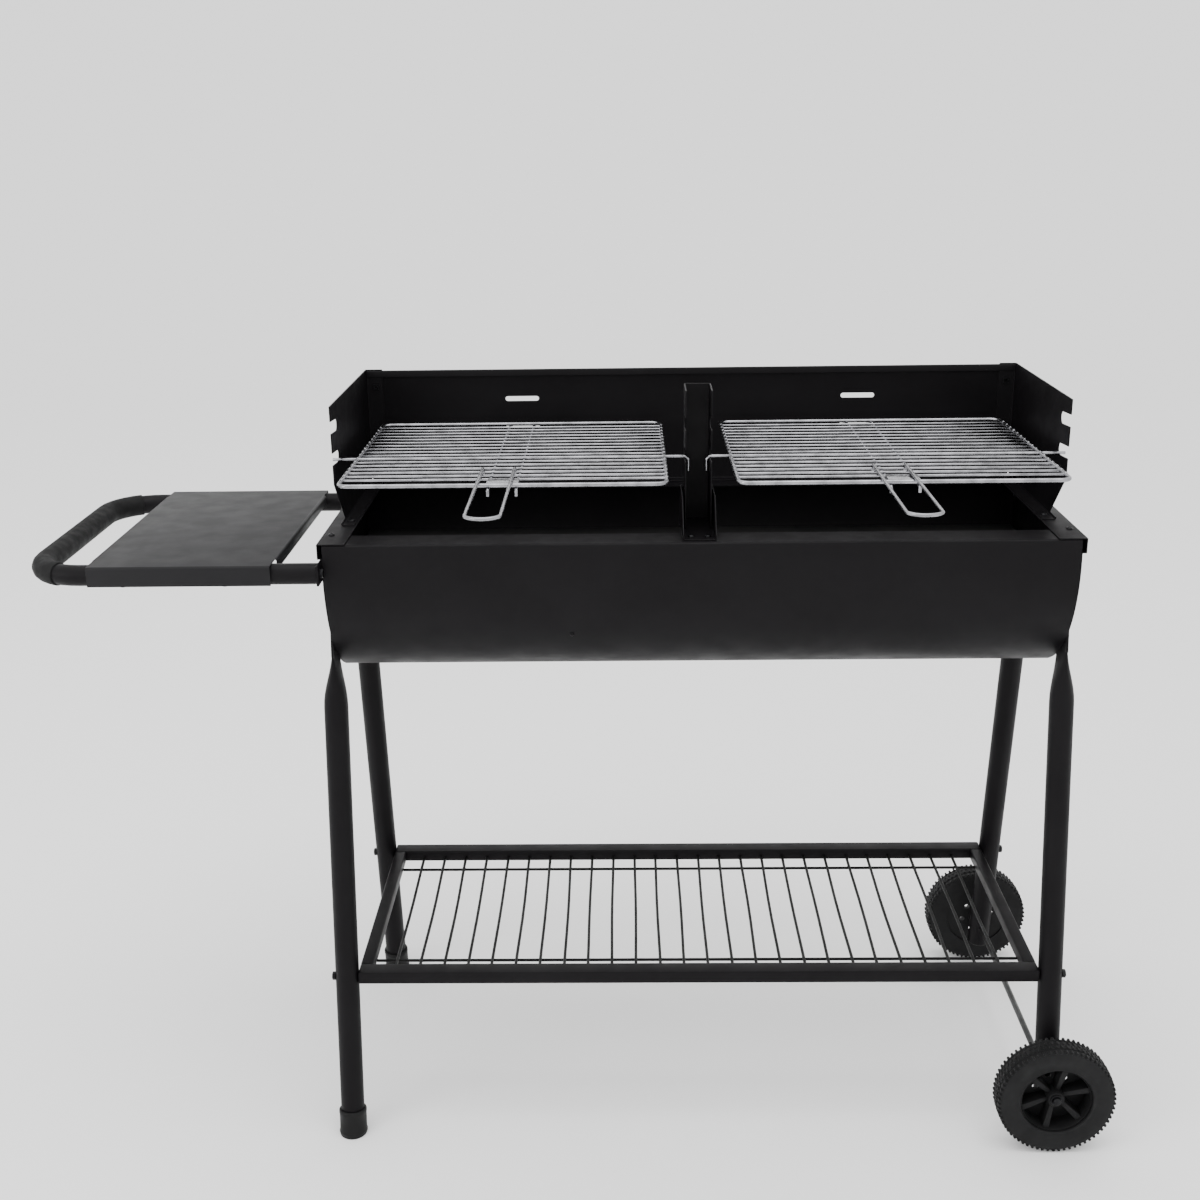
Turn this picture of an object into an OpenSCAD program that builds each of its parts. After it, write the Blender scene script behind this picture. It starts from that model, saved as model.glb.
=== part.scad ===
// Half-barrel charcoal barbecue trolley: a sheet-steel trough on four splayed
// tube legs, with a windshield, two height-adjustable wire grids, a side table
// with a tubular push handle, a lower wire shelf and two wheels at one end.
// X runs along the trough, the windshield is at the back (+Y), Z is up.

/* [Bowl] */
// Length of the trough between its end plates
bowl_len = 892; // [860:2:920]
// Radius of the trough's round bottom
bowl_r = 162; // [155:1:165]
// Height of the rim above the ground
rim_z = 786; // [780:1:792]
// Depth of the straight wall above the round bottom
bowl_wall = 34; // [30:1:38]
// Thickness of the sheet steel
sheet = 1.5; // [1.2:0.1:1.6]
// Width of the flanges turned in along the front and back rims
rim_flange = 44; // [38:1:46]
// Width of the flange turned in along each end
end_flange = 34; // [30:1:36]

/* [Windshield] */
// Height of the windshield above the rim
shield_h = 153; // [148:1:158]
// Distance from the centre to each side plate's outer face
shield_half = 435.5; // [434:0.5:436]
// Depth of the side plates from the back plate forwards
shield_depth = 266; // [262:1:270]
// Height between the two grid levels
level_step = 38; // [36:1:40]

/* [Grids] */
// Width of one cooking grid
grid_w = 371; // [365:1:372]
// Depth of one cooking grid
grid_d = 346; // [342:1:348]
// Diameter of the grid's frame wire
frame_wire = 5; // [4.8:0.1:5]
// Diameter of the grid's bars
bar_wire = 3; // [2.8:0.1:3.2]
// Number of bars between the frame wires
bar_count = 17; // [17:1:18]
// Length of the folding wire handle from its hinge
handle_len = 227; // [200:1:230]

/* [Trolley] */
// Diameter of the leg tubes
leg_d = 30; // [28:1:30]
// Distance of each foot from the middle, front to back
foot_y = 200.6; // [199:0.2:203]
// Height of the shelf's top edge
shelf_z = 222; // [215:1:226]
// Number of cross wires in the shelf
shelf_wires = 26; // [20:1:28]
// Diameter of the wheels
wheel_d = 150; // [148:1:150]
// Width of the wheels
wheel_w = 34; // [32:1:34]
// Diameter of the axle
axle_d = 8; // [8:0.5:8]

/* [Side table] */
// Length of the tray along the trough
tray_len = 221; // [215:1:224]
// Depth of the tray, front to back
tray_d = 370; // [368:1:372]
// Height of the tray's top face
tray_z = 768.5; // [768:0.5:769]
// Diameter of the table's tube
tube_d = 25; // [24:0.5:25]
// Distance from the middle of the trough to the push handle's centre line
handle_x = 791; // [785:1:800]

/* [Hidden] */
$fn = 48;

eps = 0.01;
far = 2000;
bolt_r = 3;
bolt_hole_r = 3.1;
bolt_head_r = 5.5;
bolt_head_h = 3.5;
screw_r = 2;
screw_hole_r = 2.1;
screw_head_r = 4;
screw_head_h = 2.4;
leg_bolt_len = 12;
shelf_bolt_len = 37;
arm_bolt_len = 18;
bracket_bolt_len = 8.8;
sheet_screw_len = 7;
foot_screw_len = 8;
nut_h = 4;
square_nut_w = 7;
square_nut_h = 2.4;

// Bowl
axis_z = rim_z - bowl_wall;
inner_r = bowl_r - sheet;
end_x = bowl_len / 2;
end_lip = 5;
end_outer = end_x + end_lip;
end_band_h = 18;

// Windshield: the side plates stand on the end flanges, the back plate on the back flange
rim_top = rim_z + sheet;
shield_y = 160;
shield_front = shield_y - sheet - shield_depth;
shield_top = rim_z + shield_h;
foot_w = 16;
wing_w = 24;
hem_w = 4;

// Grid levels: the support wire lies in sloping notches, the tongue in a slot
support_d = 4;
support_z = rim_z + 83.7;
notch_r = 7.2;
notch_slope = 4.3;
slot_len = 45;
slot_h = 6.5;
slot_z = rim_z + 75;

// Centre post: a channel open to the front, standing on the front rim
post_half = 16;
post_depth = 51.5;
post_top = rim_z + 169;
post_foot_y = 153;
post_gusset_h = 44;
post_foot_half = 20;

// Grid
grid_x = 225.5;
grid_front = -211;
grid_back = grid_front + grid_d;
grid_corner = 12;
frame_z = support_z - 0.7;
bar_z = support_z;
bar_first = grid_front + 26;
bar_step = (grid_back - 27 - bar_first) / (bar_count - 1);
support_bar = 6;
support_y = bar_first + support_bar * bar_step;
notch_y = support_y + 1;
notch_z = support_z + notch_r - support_d / 2 - 0.4;
spine_x = 16;
spine_d = 4;
weld_gap = 0.1;
spine_z = bar_z - (support_d + spine_d) / 2 - weld_gap;
spine_low = frame_z - (frame_wire + spine_d) / 2 - weld_gap;
tongue_end = shield_y + 12;
hook_x = 11;
hook_drop = 18;
support_end = shield_half + 5.5;
plate_half = 18;
plate_t = 1.2;

// Folding handle: its two eyes turn on the third bar
eye_bar_y = bar_first + 2 * bar_step;
eye_r = bar_wire / 2 + 0.05;
eye_w = 4.4;
eye_wall = 2.6;
grip_wire = 4;
grip_half = 18.5;
grip_clear = 0.3;
grip_lift = frame_z + frame_wire / 2 + grip_clear + grip_wire / 2 - bar_z;
grip_x_left = -234;
grip_x_right = 218.4;

// Charcoal grates
grate_z = rim_z - 64;
grate_t = 1.5;
grate_half_w = 145;
grate_lip = 9;
grate_in = 3;
grate_out = end_x - 7;
grate_pitch = 30;
grate_rows = 8;
grate_slot_w = 8;
grate_slot_len = 192;
ledge_w = 16;
ledge_h = 14;
ledge_half = 110;
ledge_top = grate_z - grate_t;
crossbar_half = 149;
crossbar_w = 40;
crossbar_h = 20;

// Legs
leg_r = leg_d / 2;
leg_wall = 1.2;
leg_x = end_x + 3.5;
leg_tilt = 8.3;
leg_round_top = 588;
leg_flat_start = 620;
leg_flat_top = 714;
leg_flat_w = 44;
leg_flat_t = 3;
leg_bolt_at = [676, 700];
cap_d = 35;
cap_h = 34;
cap_floor = 4;
axle_z = wheel_d / 2;
leg_right_end = 48;

// Shelf
rail_w = 24;
rail_h = 16;
rail_wall = 1.2;
rail_out = 178;
rail_x = leg_x - leg_r;
side_rail_w = 16;
shelf_bolt_y = 170;
shelf_wire = 3;
mesh_z = shelf_z - 10;
mesh_long_y = 124;
mesh_first = 391;

// Wheels
wheel_in = 212;
wheel_bore_r = axle_d / 2 + 0.05;
rim_inner_r = 45;
hub_r = 11;
spokes = 6;
washer_t = 1.8;
hub_out = wheel_in + 28;

// Side table
tray_in = end_x + 53.5;
tray_out = tray_in + tray_len;
tray_t = 1.2;
tray_lip = 24;
tray_side_lip = 13;
arm_y = 170;
tube_z = tray_z - tray_t - tube_d / 2;
tube_wall = 1.2;
tube_bend = 60;
bracket_t = 3;
arm_start = end_x + bracket_t;
grip_t = 1.5;
grip_skip = 26;
tray_screw_x = [tray_in + 60, tray_out - 40];
plug_len = 18;

// The whole part's box is centred over the origin
box_left = -(handle_x + tube_d / 2 + grip_t);
box_right = leg_x + wheel_d / 2;
box_front = eye_bar_y - handle_len - grip_wire / 2;
box_back = wheel_in + wheel_w;
shift = [-(box_left + box_right) / 2, -(box_front + box_back) / 2, 0];

module place() {
    translate(shift) children();
}

// A straight round rod from p to q
module rod(p, q, d) {
    v = q - p;
    translate(p)
        rotate([0, acos(v[2] / norm(v)), atan2(v[1], v[0])])
            cylinder(d = d, h = norm(v));
}

// A drawing in (y, z) pushed along X from x0 to x1
module along_x(x0, x1) {
    translate([x0, 0, 0]) rotate([90, 0, 90]) linear_extrude(x1 - x0) children();
}

// A hexagon head or nut whose base is at the origin and which grows along +X
module hex_x(r, h) {
    rotate([0, 90, 0]) cylinder(r = r, h = h, $fn = 6);
}

// A bolt along +X: head from -head_h to 0, shank from 0 to len
module bolt_x(len, r = bolt_r, head_r = bolt_head_r, head_h = bolt_head_h) {
    translate([-head_h, 0, 0]) hex_x(head_r, head_h + eps);
    rotate([0, 90, 0]) cylinder(r = r, h = len);
}

module nut_x(r = bolt_r, head_r = bolt_head_r, h = nut_h) {
    difference() {
        hex_x(head_r, h);
        translate([-1, 0, 0]) rotate([0, 90, 0]) cylinder(r = r + 0.02, h = h + 2);
    }
}

// A pan-head screw pointing down: head from 0 to head_h, shank from 0 down to -len
module screw_down(len, r = screw_r, head_r = screw_head_r, head_h = screw_head_h) {
    cylinder(r1 = head_r, r2 = head_r * 0.7, h = head_h, $fn = 32);
    translate([0, 0, -len]) cylinder(r = r, h = len + eps);
}

// ---- Bowl ----

// The trough's outline with radius r and walls straight up to top
module trough_outline(r, top) {
    translate([0, axis_z]) circle(r = r, $fn = 96);
    translate([-r, axis_z]) square([2 * r, top - axis_z]);
}

module trough_shape(r, top) {
    difference() {
        trough_outline(r, top);
        translate([-far / 2, top]) square(far);
    }
}

module bowl_shell() {
    color([0.12, 0.12, 0.12]) {
        along_x(-end_x, end_x) difference() {
            trough_shape(bowl_r, rim_z);
            trough_shape(inner_r, rim_z + 1);
        }
        for (side = [-1, 1]) difference() {
            translate([sheet - end_x, side > 0 ? inner_r - rim_flange : -inner_r, rim_z - sheet])
                cube([2 * (end_x - sheet), rim_flange, sheet]);
            rim_screw_holes();
            shield_foot_holes();
            post_holes();
        }
    }
}

rim_screw_x = end_x - 6;
rim_screw_y = 121;
module rim_screw_holes() {
    for (x = [-rim_screw_x, rim_screw_x], y = [-rim_screw_y, rim_screw_y])
        translate([x, y, rim_z - 10]) cylinder(r = screw_hole_r, h = 20);
}

back_foot_x = [-300, 0, 300];
back_foot_y = shield_y - sheet - 10;
module shield_foot_holes() {
    for (x = back_foot_x)
        translate([x, back_foot_y, rim_z - 10]) cylinder(r = screw_hole_r, h = 20);
}

post_screw_y = 140;
module post_holes() {
    for (x = [-10, 10])
        translate([x, -post_screw_y, rim_z - 10]) cylinder(r = screw_hole_r, h = 20);
}

side_foot_y = [-60, 110];
side_foot_x = shield_half - sheet - foot_w / 2;
module side_foot_holes() {
    for (y = side_foot_y)
        translate([side_foot_x, y, rim_z - 10]) cylinder(r = screw_hole_r, h = 20);
}

// The right-hand end: a flat plate, a stepped band under the rim and a flange turned in
module bowl_end() {
    difference() {
        union() {
            along_x(end_x - sheet, end_x) trough_shape(inner_r, rim_z);
            translate([end_x - sheet, -inner_r, rim_top - end_band_h])
                cube([end_lip + sheet, 2 * inner_r, sheet]);
            translate([end_outer - sheet, -bowl_r, rim_top - end_band_h])
                cube([sheet, 2 * bowl_r, end_band_h]);
            translate([end_outer - end_flange, -bowl_r, rim_z])
                cube([end_flange, 2 * bowl_r, sheet]);
        }
        rim_screw_holes();
        side_foot_holes();
        leg_bolt_places() translate([-30, 0, 0]) rotate([0, 90, 0]) cylinder(r = bolt_hole_r, h = 60);
    }
}

module bowl_end_right() { color([0.12, 0.12, 0.12]) bowl_end(); }
module bowl_end_left() {
    color([0.12, 0.12, 0.12]) difference() {
        mirror([1, 0, 0]) bowl_end();
        for (y = bracket_bolt_y) translate([-end_x - 10, y, tube_z])
            rotate([0, 90, 0]) cylinder(r = bolt_hole_r, h = 20);
    }
}

// ---- Windshield ----

module slot_shape(len, h) {
    translate([-(len - h) / 2, -h / 2]) square([len - h, h]);
    for (side = [-1, 1]) translate([side * (len - h) / 2, 0]) circle(d = h);
}

module windshield_back() {
    color([0.12, 0.12, 0.12]) difference() {
        union() {
            translate([-shield_half + sheet, shield_y - sheet, rim_top])
                cube([2 * (shield_half - sheet), sheet, shield_top - rim_top]);
            translate([-end_x + end_flange + 8, shield_y - foot_w, rim_z])
                cube([2 * (end_x - end_flange - 8), foot_w, sheet]);
            translate([-shield_half + wing_w + 1, shield_y - hem_w, shield_top - sheet])
                cube([2 * (shield_half - wing_w - 1), hem_w, sheet]);
        }
        for (x = [-grid_x, grid_x], level = [0, 1])
            translate([x, shield_y + 5, slot_z + level * level_step])
                rotate([90, 0, 0]) linear_extrude(20) slot_shape(slot_len, slot_h);
        shield_foot_holes();
        wing_holes();
    }
}

wing_screw_x = shield_half - sheet - wing_w / 2;
wing_screw_z = [rim_z + 45, shield_top - 22];
module wing_holes() {
    for (x = [-wing_screw_x, wing_screw_x], z = wing_screw_z)
        translate([x, shield_y - 10, z]) rotate([-90, 0, 0]) cylinder(r = screw_hole_r, h = 20);
}

// A notch that opens forwards and rises towards its mouth, drawn in (y, z)
module notch_shape() {
    rotate(-notch_slope) {
        circle(r = notch_r);
        translate([-80, -notch_r]) square([80, 2 * notch_r]);
    }
}

module notches() {
    for (level = [0, 1])
        translate([notch_y, notch_z + level * level_step]) notch_shape();
}

module side_outline() {
    difference() {
        polygon([
            [shield_y - sheet, rim_top], [shield_y - sheet, shield_top],
            [shield_front, shield_top], [shield_front, rim_z + 60],
            [shield_front + 12, rim_z + 22], [shield_front + 24, rim_top]
        ]);
        notches();
    }
}

module windshield_side() {
    along_x(shield_half - sheet, shield_half) side_outline();
    difference() {
        translate([shield_half - wing_w, shield_y - 2 * sheet, rim_top])
            cube([wing_w - sheet + eps, sheet, shield_h]);
        wing_holes();
    }
    difference() {
        translate([shield_half - sheet - foot_w, shield_front + 34, rim_top])
            cube([foot_w + eps, shield_depth - 34 - 2 * sheet, sheet]);
        side_foot_holes();
    }
}

module windshield_side_right() { color([0.12, 0.12, 0.12]) windshield_side(); }
module windshield_side_left() { color([0.12, 0.12, 0.12]) mirror([1, 0, 0]) windshield_side(); }

post_front = shield_front;
post_back = post_front + post_depth;
module post_outline() {
    difference() {
        translate([post_front, rim_z]) square([post_depth, post_top - rim_z]);
        notches();
    }
}

module post_gusset_outline() {
    polygon([
        [post_back, rim_z], [post_back, rim_z + post_gusset_h],
        [post_front - 6, rim_z + post_gusset_h], [-post_foot_y, rim_z + 6], [-post_foot_y, rim_z]
    ]);
}

module centre_post() {
    color([0.12, 0.12, 0.12]) {
        for (x = [-post_half, post_half - sheet]) along_x(x, x + sheet) post_outline();
        translate([-post_half, post_back - sheet, rim_z]) cube([2 * post_half, sheet, post_top - rim_z]);
        for (x = [-post_foot_half, post_foot_half - sheet]) along_x(x, x + sheet) post_gusset_outline();
        difference() {
            translate([-post_foot_half, -post_foot_y, rim_z])
                cube([2 * post_foot_half, post_foot_y + post_back, sheet]);
            post_holes();
        }
    }
}

// ---- Charcoal grates and what they rest on ----

module grate_ledge() {
    translate([end_x - sheet - ledge_w, -ledge_half, ledge_top - sheet])
        cube([ledge_w, 2 * ledge_half, sheet]);
    translate([end_x - 2 * sheet, -ledge_half, ledge_top - ledge_h])
        cube([sheet, 2 * ledge_half, ledge_h]);
}
module grate_ledge_right() { color([0.15, 0.15, 0.15]) grate_ledge(); }
module grate_ledge_left() { color([0.15, 0.15, 0.15]) mirror([1, 0, 0]) grate_ledge(); }

// A channel across the trough that carries the inner ends of both charcoal grates
module grate_crossbar() {
    color([0.15, 0.15, 0.15]) {
        translate([-crossbar_w / 2, -crossbar_half, ledge_top - sheet])
            cube([crossbar_w, 2 * crossbar_half, sheet]);
        intersection() {
            for (x = [-crossbar_w / 2, crossbar_w / 2 - sheet])
                translate([x, -crossbar_half, ledge_top - crossbar_h])
                    cube([sheet, 2 * crossbar_half, crossbar_h]);
            along_x(-end_x, end_x) trough_shape(inner_r - 0.2, rim_z);
        }
    }
}

// A sheet with two long slots in each row and its long edges turned down
module charcoal_grate() {
    grate_w = grate_out - grate_in;
    difference() {
        translate([grate_in, -grate_half_w, grate_z - grate_t]) cube([grate_w, 2 * grate_half_w, grate_t]);
        for (i = [0 : grate_rows - 1], side = [-1, 1])
            translate([
                (grate_in + grate_out) / 2 + side * (grate_slot_len + 14) / 2,
                (i - (grate_rows - 1) / 2) * grate_pitch, grate_z - 5
            ])
                linear_extrude(10) slot_shape(grate_slot_len, grate_slot_w);
    }
    for (y = [-grate_half_w, grate_half_w - grate_t])
        translate([grate_in + 40, y, grate_z - grate_lip]) cube([grate_w - 80, grate_t, grate_lip]);
}
module charcoal_grate_right() { color([0.15, 0.15, 0.15]) charcoal_grate(); }
module charcoal_grate_left() { color([0.15, 0.15, 0.15]) mirror([1, 0, 0]) charcoal_grate(); }

// ---- Cooking grids ----

// A quarter of a ring in the XY plane, centred on the origin, starting at angle a
module wire_bend(radius, d, a, sweep = 90) {
    rotate([0, 0, a]) rotate_extrude(angle = sweep) translate([radius, 0]) circle(d = d);
}

module grid_frame() {
    x0 = grid_x - grid_w / 2;
    x1 = grid_x + grid_w / 2;
    c = grid_corner;
    translate([0, 0, frame_z]) {
        for (y = [grid_front, grid_back]) rod([x0 + c, y, 0], [x1 - c, y, 0], frame_wire);
        for (x = [x0, x1]) rod([x, grid_front + c, 0], [x, grid_back - c, 0], frame_wire);
        translate([x0 + c, grid_front + c, 0]) wire_bend(c, frame_wire, 180);
        translate([x1 - c, grid_front + c, 0]) wire_bend(c, frame_wire, 270);
        translate([x1 - c, grid_back - c, 0]) wire_bend(c, frame_wire, 0);
        translate([x0 + c, grid_back - c, 0]) wire_bend(c, frame_wire, 90);
    }
}

// One of the two wires under the bars: it dips under the frame and ends in the slot
module grid_spine(x) {
    path = [
        [x, grid_front - 5, spine_low - 7], [x, grid_front - 4, spine_low],
        [x, grid_front + 6, spine_low], [x, grid_front + 18, spine_z],
        [x, grid_back - 20, spine_z], [x, grid_back - 7, spine_low],
        [x, grid_back + 5, spine_low], [x, shield_y - 11, slot_z], [x, tongue_end, slot_z]
    ];
    for (i = [0 : len(path) - 2]) rod(path[i], path[i + 1], spine_d);
    for (i = [1 : len(path) - 2]) translate(path[i]) sphere(d = spine_d + 0.1, $fn = 24);
}

// The support wire's ends beyond the frame: a straight one outside and a hook inside
module grid_arms() {
    turn = 5;
    inner = grid_x - (grid_w + frame_wire) / 2;
    outer = grid_x + (grid_w + frame_wire) / 2;
    rod([outer, support_y, support_z], [support_end, support_y, support_z], support_d);
    rod([hook_x + turn, support_y, support_z], [inner, support_y, support_z], support_d);
    translate([hook_x + turn, support_y, support_z - turn])
        rotate([90, 0, 0]) wire_bend(turn, support_d, 90);
    rod([hook_x, support_y, support_z - turn], [hook_x, support_y, support_z - hook_drop], support_d);
}

module grid_bar(y, half, d) {
    rod([grid_x - half, y, bar_z], [grid_x + half, y, bar_z], d);
}

module grid() {
    grid_frame();
    for (i = [0 : bar_count - 1]) if (i != support_bar)
        grid_bar(bar_first + i * bar_step, grid_w / 2, bar_wire);
    grid_bar(support_y, (grid_w + frame_wire) / 2, support_d);
    translate([grid_x - plate_half, grid_front + 1, frame_z + 0.8])
        cube([2 * plate_half, bar_first - grid_front - 1, plate_t]);
}

module grid_spines() {
    for (side = [-1, 1]) grid_spine(grid_x + side * spine_x);
}

module grid_right() { color([0.7, 0.7, 0.72]) grid(); }
module grid_left() { color([0.7, 0.7, 0.72]) mirror([1, 0, 0]) grid(); }
module grid_spines_right() { color([0.7, 0.7, 0.72]) grid_spines(); }
module grid_spines_left() { color([0.7, 0.7, 0.72]) mirror([1, 0, 0]) grid_spines(); }
module grid_arms_right() { color([0.7, 0.7, 0.72]) grid_arms(); }
module grid_arms_left() { color([0.7, 0.7, 0.72]) mirror([1, 0, 0]) grid_arms(); }

// A wire handle that folds about the third bar and rests on the frame
module grid_handle(x) {
    leg_len = handle_len - grip_half;
    translate([x, eye_bar_y, bar_z]) {
        for (side = [-1, 1]) difference() {
            union() {
                translate([side * grip_half - eye_w / 2, 0, 0])
                    rotate([0, 90, 0]) cylinder(r = eye_r + eye_wall, h = eye_w);
                rod([side * grip_half, 0, grip_lift], [side * grip_half, -leg_len, grip_lift], grip_wire);
            }
            translate([side * grip_half - 5, 0, 0]) rotate([0, 90, 0]) cylinder(r = eye_r, h = 10);
        }
        translate([0, -leg_len, grip_lift]) wire_bend(grip_half, grip_wire, 180, 180);
    }
}
module grid_handle_right() { color([0.7, 0.7, 0.72]) grid_handle(grip_x_right); }
module grid_handle_left() { color([0.7, 0.7, 0.72]) grid_handle(grip_x_left); }

// ---- Legs ----

// Puts its children in a leg's own frame: the tube runs up +Z from the ground
module leg_frame(side) {
    translate([leg_x, side * foot_y, 0]) rotate([side * leg_tilt, 0, 0]) children();
}

module leg_bolt_places() {
    for (side = [-1, 1], z = leg_bolt_at) leg_frame(side) translate([0, 0, z]) children();
}

// A leg on the right-hand side; its tube starts at start and is pressed flat at the top
module leg(side, start) {
    flat_x = -leg_x + end_x;
    difference() {
        leg_frame(side) {
            difference() {
                translate([0, 0, start]) cylinder(r = leg_r, h = leg_round_top - start);
                translate([0, 0, start - 1])
                    cylinder(r = leg_r - leg_wall, h = leg_round_top - start - 10);
            }
            hull() {
                translate([0, 0, leg_round_top - eps]) cylinder(r = leg_r, h = eps, $fn = 32);
                translate([flat_x, -leg_flat_w / 2, leg_flat_start])
                    cube([leg_flat_t, leg_flat_w, eps]);
            }
            difference() {
                union() {
                    translate([flat_x, -leg_flat_w / 2, leg_flat_start])
                        cube([leg_flat_t, leg_flat_w, leg_flat_top - leg_flat_start - 12]);
                    translate([flat_x, -leg_flat_w / 2 + 12, leg_flat_start])
                        cube([leg_flat_t, leg_flat_w - 24, leg_flat_top - leg_flat_start]);
                    for (s = [-1, 1])
                        translate([flat_x, s * (leg_flat_w / 2 - 12), leg_flat_top - 12])
                            rotate([0, 90, 0]) cylinder(r = 12, h = leg_flat_t);
                }
                for (z = leg_bolt_at) translate([-20, 0, z])
                    rotate([0, 90, 0]) cylinder(r = bolt_hole_r, h = 40);
            }
        }
        translate([leg_x - 30, side * shelf_bolt_y, shelf_z - rail_h / 2])
            rotate([0, 90, 0]) cylinder(r = bolt_hole_r, h = 60);
        if (start > 20) translate([leg_x, 0, axle_z])
            rotate([-90, 0, 0]) translate([0, 0, side > 0 ? 0 : -300])
                cylinder(r = axle_d / 2 + 0.02, h = 300);
    }
}

module leg_front_right() { color([0.12, 0.12, 0.12]) leg(-1, leg_right_end); }
module leg_back_right() { color([0.12, 0.12, 0.12]) leg(1, leg_right_end); }
module leg_front_left() { color([0.12, 0.12, 0.12]) mirror([1, 0, 0]) leg(-1, cap_floor); }
module leg_back_left() { color([0.12, 0.12, 0.12]) mirror([1, 0, 0]) leg(1, cap_floor); }

// A plastic cap on a left leg: a tilted cup whose bottom is flat on the ground
module foot_cap(side) {
    mirror([1, 0, 0]) difference() {
        leg_frame(side) difference() {
            translate([0, 0, -5]) cylinder(d = cap_d, h = cap_h + 5);
            translate([0, 0, cap_floor]) cylinder(r = leg_r, h = cap_h);
        }
        translate([0, 0, -50]) cube([far, far, 100], center = true);
    }
}
module foot_cap_front() { color([0.07, 0.07, 0.07]) foot_cap(-1); }
module foot_cap_back() { color([0.07, 0.07, 0.07]) foot_cap(1); }

module leg_plugs() {
    color([0.07, 0.07, 0.07]) for (side = [-1, 1]) leg_frame(side) translate([0, 0, leg_right_end]) {
        cylinder(r = leg_r - leg_wall, h = 12);
        translate([0, 0, -3]) cylinder(r = leg_r, h = 3);
    }
}

// ---- Shelf ----

// A closed rectangular tube along X from -x to x
module rail_x(x, y0, w) {
    difference() {
        translate([-x, y0, shelf_z - rail_h]) cube([2 * x, w, rail_h]);
        translate([-x + rail_wall, y0 + rail_wall, shelf_z - rail_h + rail_wall])
            cube([2 * (x - rail_wall), w - 2 * rail_wall, rail_h - 2 * rail_wall]);
        for (side = [-1, 1]) translate([side * x - 5, (y0 > 0 ? 1 : -1) * shelf_bolt_y, shelf_z - rail_h / 2])
            rotate([0, 90, 0]) cylinder(r = bolt_hole_r, h = 10);
    }
}

module shelf_rail_front() { color([0.12, 0.12, 0.12]) rail_x(rail_x, -rail_out, rail_w); }
module shelf_rail_back() { color([0.12, 0.12, 0.12]) rail_x(rail_x, rail_out - rail_w, rail_w); }

module shelf_rail_side() {
    y = rail_out - rail_w;
    difference() {
        translate([rail_x - side_rail_w, -y, shelf_z - rail_h]) cube([side_rail_w, 2 * y, rail_h]);
        translate([rail_x - side_rail_w + rail_wall, -y + rail_wall, shelf_z - rail_h + rail_wall])
            cube([side_rail_w - 2 * rail_wall, 2 * (y - rail_wall), rail_h - 2 * rail_wall]);
    }
}
module shelf_rail_right() { color([0.12, 0.12, 0.12]) shelf_rail_side(); }
module shelf_rail_left() { color([0.12, 0.12, 0.12]) mirror([1, 0, 0]) shelf_rail_side(); }

module shelf_mesh() {
    y = rail_out - rail_w;
    x = rail_x - side_rail_w;
    step = 2 * mesh_first / (shelf_wires - 1);
    color([0.14, 0.14, 0.14]) {
        for (i = [0 : shelf_wires - 1])
            rod([-mesh_first + i * step, -y, mesh_z], [-mesh_first + i * step, y, mesh_z], shelf_wire);
        for (side = [-1, 1])
            rod([-x, side * mesh_long_y, mesh_z - shelf_wire + 0.2],
                [x, side * mesh_long_y, mesh_z - shelf_wire + 0.2], shelf_wire);
    }
}

// ---- Wheels ----

module axle() {
    color([0.6, 0.6, 0.6]) rod([leg_x, -hub_out - 3, axle_z], [leg_x, hub_out + 3, axle_z], axle_d);
}

// A moulded wheel about +Z, its outer face towards +Z and its inner face at z = 0
module wheel_body() {
    r = wheel_d / 2;
    difference() {
        rotate_extrude($fn = 96) polygon([
            [rim_inner_r, 0], [r - 8, 0], [r - 2, 3], [r, 8],
            [r, wheel_w - 8], [r - 2, wheel_w - 3], [r - 8, wheel_w],
            [rim_inner_r + 4, wheel_w - 1], [rim_inner_r, wheel_w - 5]
        ]);
        translate([0, 0, -1]) cylinder(r = rim_inner_r - eps, h = 1);
    }
    difference() {
        union() {
            translate([0, 0, 3]) cylinder(r = rim_inner_r + 1, h = 3);
            translate([0, 0, -1]) cylinder(r = hub_r, h = hub_out - wheel_in + 1);
            for (i = [0 : spokes - 1]) rotate([0, 0, i * 360 / spokes])
                translate([hub_r - 3, -3.5, 3]) cube([rim_inner_r - hub_r + 4, 7, 19]);
        }
        for (i = [0 : spokes - 1]) rotate([0, 0, (i + 0.5) * 360 / spokes])
            translate([28, 0, 0]) cylinder(r = 7, h = 10);
        translate([0, 0, -5]) cylinder(r = wheel_bore_r, h = wheel_w + 10);
    }
}

module wheel(side) {
    translate([leg_x, side * wheel_in, axle_z]) rotate([-side * 90, 0, 0]) wheel_body();
}
module wheel_front() { color([0.1, 0.1, 0.1]) wheel(-1); }
module wheel_back() { color([0.1, 0.1, 0.1]) wheel(1); }

module axle_washers() {
    color([0.65, 0.65, 0.65]) for (side = [-1, 1])
        translate([leg_x, side * (wheel_in - 1.2), axle_z]) rotate([side * 90, 0, 0]) difference() {
            cylinder(r = 9, h = washer_t);
            translate([0, 0, -1]) cylinder(r = axle_d / 2 + 0.05, h = washer_t + 2);
        }
}

module axle_nuts() {
    color([0.65, 0.65, 0.65]) for (side = [-1, 1])
        translate([leg_x, side * (hub_out + 0.3), axle_z]) rotate([-side * 90, 0, 0]) difference() {
            union() {
                cylinder(r = 7.5, h = 1.2);
                cylinder(r1 = 5.6, r2 = 4.6, h = 4.5, $fn = 32);
            }
            translate([0, 0, -1]) cylinder(r = axle_d / 2 + 0.01, h = 3.7);
        }
}

// ---- Side table ----

bracket_bolt_y = [-90, 90];

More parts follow.
